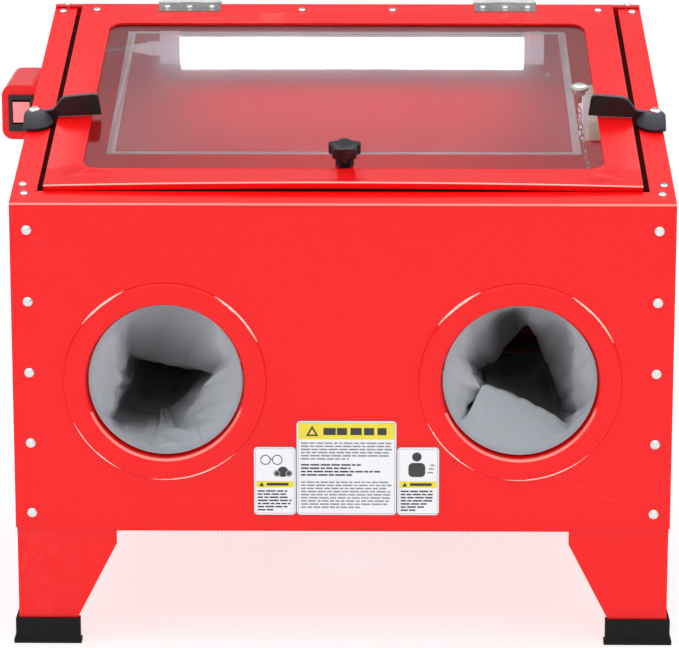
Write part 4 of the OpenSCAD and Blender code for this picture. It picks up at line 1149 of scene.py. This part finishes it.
def addSleeve(side, ribs, name):
    angles = [rib[0] for rib in ribs] + [ribs[0][0] + 360]
    lines = [ribPoints(side, rib) for rib in ribs]
    lines.append(lines[0])
    clearSelection()
    bpy.ops.mesh.primitive_grid_add(x_subdivisions=sleeve["steps"], y_subdivisions=sleeve["rows"], size=1,
                                    location=(0, 0, 0))
    cloth = bpy.context.object
    cloth.name = name
    depthMask = cloth.data.attributes.new("depth", "FLOAT", "POINT")
    for vertex in cloth.data.vertices:
        angle = angles[0] + 360 * min(max(vertex.co.x + 0.5, 0), 1)
        along = min(max(vertex.co.y + 0.5, 0), 1)
        k, between = stretchAt(angle, angles)
        j, part = stretchAt(along, sleeve["shares"])
        here = [a.lerp(b, between) for a, b in zip(lines[k], lines[k + 1])]
        if j in (0, 4, 5) or (j == 1 and part < 0.2):
            # round at the ring and at the wrist
            for i, radius in ((0, sleeve["radius"]), (1, sleeve["neckRadius"]), (5, sleeve["wrist"])):
                here[i] = roundHole(side, angle, radius, here[i].y - cabinet["shiftY"])
        spot = here[j].lerp(here[j + 1], part)
        outward = Vector((math.cos(math.radians(angle)), 0, math.sin(math.radians(angle))))
        depthMask.data[vertex.index].value = shadeAt(spot, max(outward.z, 0))
        vertex.co = spot + outward * creaseAt(spot, outward, along, side)
    pickOnly(cloth)
    bpy.ops.object.mode_set(mode="EDIT")
    bpy.ops.mesh.select_all(action="SELECT")
    bpy.ops.mesh.remove_doubles(threshold=0.00012)
    bpy.ops.mesh.normals_make_consistent(inside=False)
    bpy.ops.object.mode_set(mode="OBJECT")
    relax = cloth.modifiers.new("relax", "SMOOTH")
    relax.factor, relax.iterations = 0.5, 1
    solid = cloth.modifiers.new("thick", "SOLIDIFY")
    solid.thickness = sleeve["clothThick"]
    applyModifiers(cloth)
    bpy.ops.object.shade_smooth_by_angle(angle=math.radians(50))
    setMaterial(cloth, "sleeveCloth")
    return cloth


sleevePieces = {}
for side, ribs, name, node in ((-1, leftRibs, "sleeveClothLeft", "sleeve_left"),
                               (1, rightRibs, "sleeveClothRight", "sleeve_right")):
    sleevePieces[node] = addSleeve(side, ribs, name)
    finishPiece(sleevePieces[node], "cabinet", slotOf[node], node)

print("gloves")
gloveShape = {"voxel": 0.0016, "smooth": 14}


def addGloves():
    gloves = bpy.data.objects.new("glovePair", nodes["gloves"].data.copy())
    scene.collection.objects.link(gloves)
    remesh = gloves.modifiers.new("remesh", "REMESH")
    remesh.mode, remesh.voxel_size = "VOXEL", gloveShape["voxel"]
    smooth = gloves.modifiers.new("smooth", "SMOOTH")
    smooth.factor, smooth.iterations = 0.7, gloveShape["smooth"]
    applyModifiers(gloves)
    outward = [v.normal.copy() for v in gloves.data.vertices]
    for vertex, normal in zip(gloves.data.vertices, outward):
        vertex.co += normal * (noise.noise(vertex.co * 45) * 0.0011 + noise.noise(vertex.co * 120) * 0.0004)
    bpy.ops.object.shade_smooth()
    setMaterial(gloves, "gloveRubber")
    finishPiece(gloves, "cabinet", slotOf["gloves"], "gloves")


addGloves()

print("stay chain")
chain = {"pitch": 0.0052, "length": 0.0080, "width": 0.0052, "wire": 0.00062, "cup": 0.0007, "twist": 78,
         "firstTwist": 20,
         "path": ((220.5, 263, 439), (222, 262, 424), (226, 259, 400), (232, 255, 372), (241, 249, 348),
                  (252, 240, 334), (262, 229, 330), (271, 217, 338), (277, 207, 354), (279.5, 201, 370))}


def addChainLink():
    # a torus drawn out into an oval and cupped a little
    clearSelection()
    bpy.ops.mesh.primitive_torus_add(major_radius=chain["width"] / 2 - chain["wire"],
                                     minor_radius=chain["wire"], major_segments=20, minor_segments=8)
    linkPiece = bpy.context.object
    stretch = (chain["length"] - chain["width"]) / 2
    for vertex in linkPiece.data.vertices:
        if abs(vertex.co.x) > 1e-6:
            vertex.co.x += math.copysign(stretch, vertex.co.x)
        cup = chain["cup"] * math.sin(vertex.co.x / chain["length"] * math.pi)
        vertex.co.z += cup * math.copysign(1, vertex.co.y)
    return linkPiece


def addChain():
    path = [inCabinet(*(c * mm for c in point)) for point in chain["path"]]
    lengths = [0.0]
    for a, b in zip(path, path[1:]):
        lengths.append(lengths[-1] + (b - a).length)
    count = int(lengths[-1] / chain["pitch"])
    links = []
    for k in range(count + 1):
        place = lengths[-1] * k / count
        j = max(i for i in range(len(lengths) - 1) if lengths[i] <= place + 1e-9)
        share = (place - lengths[j]) / (lengths[j + 1] - lengths[j])
        along = (path[j + 1] - path[j]).normalized().to_track_quat("X", "Z").to_matrix().to_4x4()
        twist = Matrix.Rotation(math.radians(chain["twist"] * k + chain["firstTwist"]), 4, "X")
        links.append(addChainLink())
        links[-1].data.transform(Matrix.Translation(path[j].lerp(path[j + 1], share)) @ along @ twist)
    clearSelection()
    for linkPiece in links:
        linkPiece.select_set(True)
    bpy.context.view_layer.objects.active = links[0]
    bpy.ops.object.join()
    piece = bpy.context.object
    piece.name = "stayChainLinks"
    bpy.ops.object.shade_smooth()
    setMaterial(piece, "zinc")
    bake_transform(piece, "cabinet", "lid", start=path[-1], end=path[0])
    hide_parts("stay_chain")


addChain()

print("seam on the left sleeve")


def addSeam(name, side, line, width, cloth):
    # a sewn band laid on the cloth
    clearSelection()
    bpy.ops.mesh.primitive_grid_add(x_subdivisions=3, y_subdivisions=24, size=1)
    band = bpy.context.object
    band.name = name
    points = [throughHole(side, *p) for p in line]
    across = (points[-1] - points[0]).cross(Vector((0, 1, 0))).normalized()
    for vertex in band.data.vertices:
        j, share = spotOn(vertex.co.y + 0.5, points)
        vertex.co = points[j].lerp(points[j + 1], share) + across * vertex.co.x * width
    wrap = band.modifiers.new("wrap", "SHRINKWRAP")
    wrap.target, wrap.wrap_method, wrap.offset = cloth, "PROJECT", 0.0010
    wrap.use_project_y, wrap.use_positive_direction, wrap.use_negative_direction = True, True, True
    thick = band.modifiers.new("thick", "SOLIDIFY")
    thick.thickness, thick.offset = 0.0012, 0
    applyModifiers(band)
    pickOnly(band)
    bpy.ops.object.shade_smooth_by_angle(angle=math.radians(50))
    setMaterial(band, "sleeveCloth")
    finishPiece(band, "cabinet", slotOf["sleeve_left"])


addSeam("sleeveSeamFront", -1, ((22, -42, 10), (25, -50, 10), (28, -59, 10)), 0.008,
        sleevePieces["sleeve_left"])

print("floor, light and backdrop")
studio = {"floor": ((0.30, 0.30, 0.305), (0.33, 0.33, 0.335)), "floorGlow": 0.72, "world": (0.93, 0.95, 1.0),
          "worldStrength": 0.40}


def addFloor():
    clearSelection()
    bpy.ops.mesh.primitive_plane_add(size=60, location=(0, 0, min(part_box(n)[0].z for n in nodes)))
    floor = bpy.context.object
    floor.name = "floor"
    bpy.ops.object.transform_apply(location=True, rotation=True, scale=True)
    material, shader, place = newMaterial("floorPaper", Roughness=0.7)
    blotch = addEffect(material, "blotch", place, Scale=0.8, Strength=0.6)
    shade = mixColour(material, blotch.outputs["Factor"], *studio["floor"])
    link(material, shade, shader.inputs["Base Color"])
    shader.inputs["Emission Color"].default_value = (1, 1, 1, 1)
    shader.inputs["Emission Strength"].default_value = studio["floorGlow"]
    floor.data.materials.append(material)


def addLight(name, place, aim, size, power):
    data = bpy.data.lights.new(name, "AREA")
    data.shape, data.energy = "RECTANGLE", power
    data.size, data.size_y = size
    lamp = bpy.data.objects.new(name, data)
    lamp.location = place
    lamp.rotation_euler = (Vector(aim) - Vector(place)).to_track_quat("-Z", "Y").to_euler()
    scene.collection.objects.link(lamp)


def addStudio():
    world = bpy.data.worlds.new("studio")
    world.use_nodes = True
    back = world.node_tree.nodes["Background"]
    back.inputs["Color"].default_value = (*studio["world"], 1)
    back.inputs["Strength"].default_value = studio["worldStrength"]
    scene.world = world
    addLight("frontSoft", (0.2, -3.6, 1.9), (0, 0, 0.28), (3.4, 2.2), 26)
    addLight("topSoft", (0.0, 0.0, 6.0), (0, 0, 0.4), (13.0, 13.0), 600)
    addLight("leftSoft", (-3.0, -1.4, 1.3), (0, 0, 0.3), (1.4, 2.2), 9)
    addLight("rightSoft", (3.0, -1.0, 1.5), (0, 0, 0.3), (1.4, 2.2), 7)
    # the strip lamp's own light inside the cabinet
    addLight("stripGlow", inCabinet(0.005, 0.447, 0.452), inCabinet(0.005, 0.30, 0.20), (0.34, 0.02), 0.36)
    scene.view_settings.view_transform = "Standard"


addFloor()
addStudio()
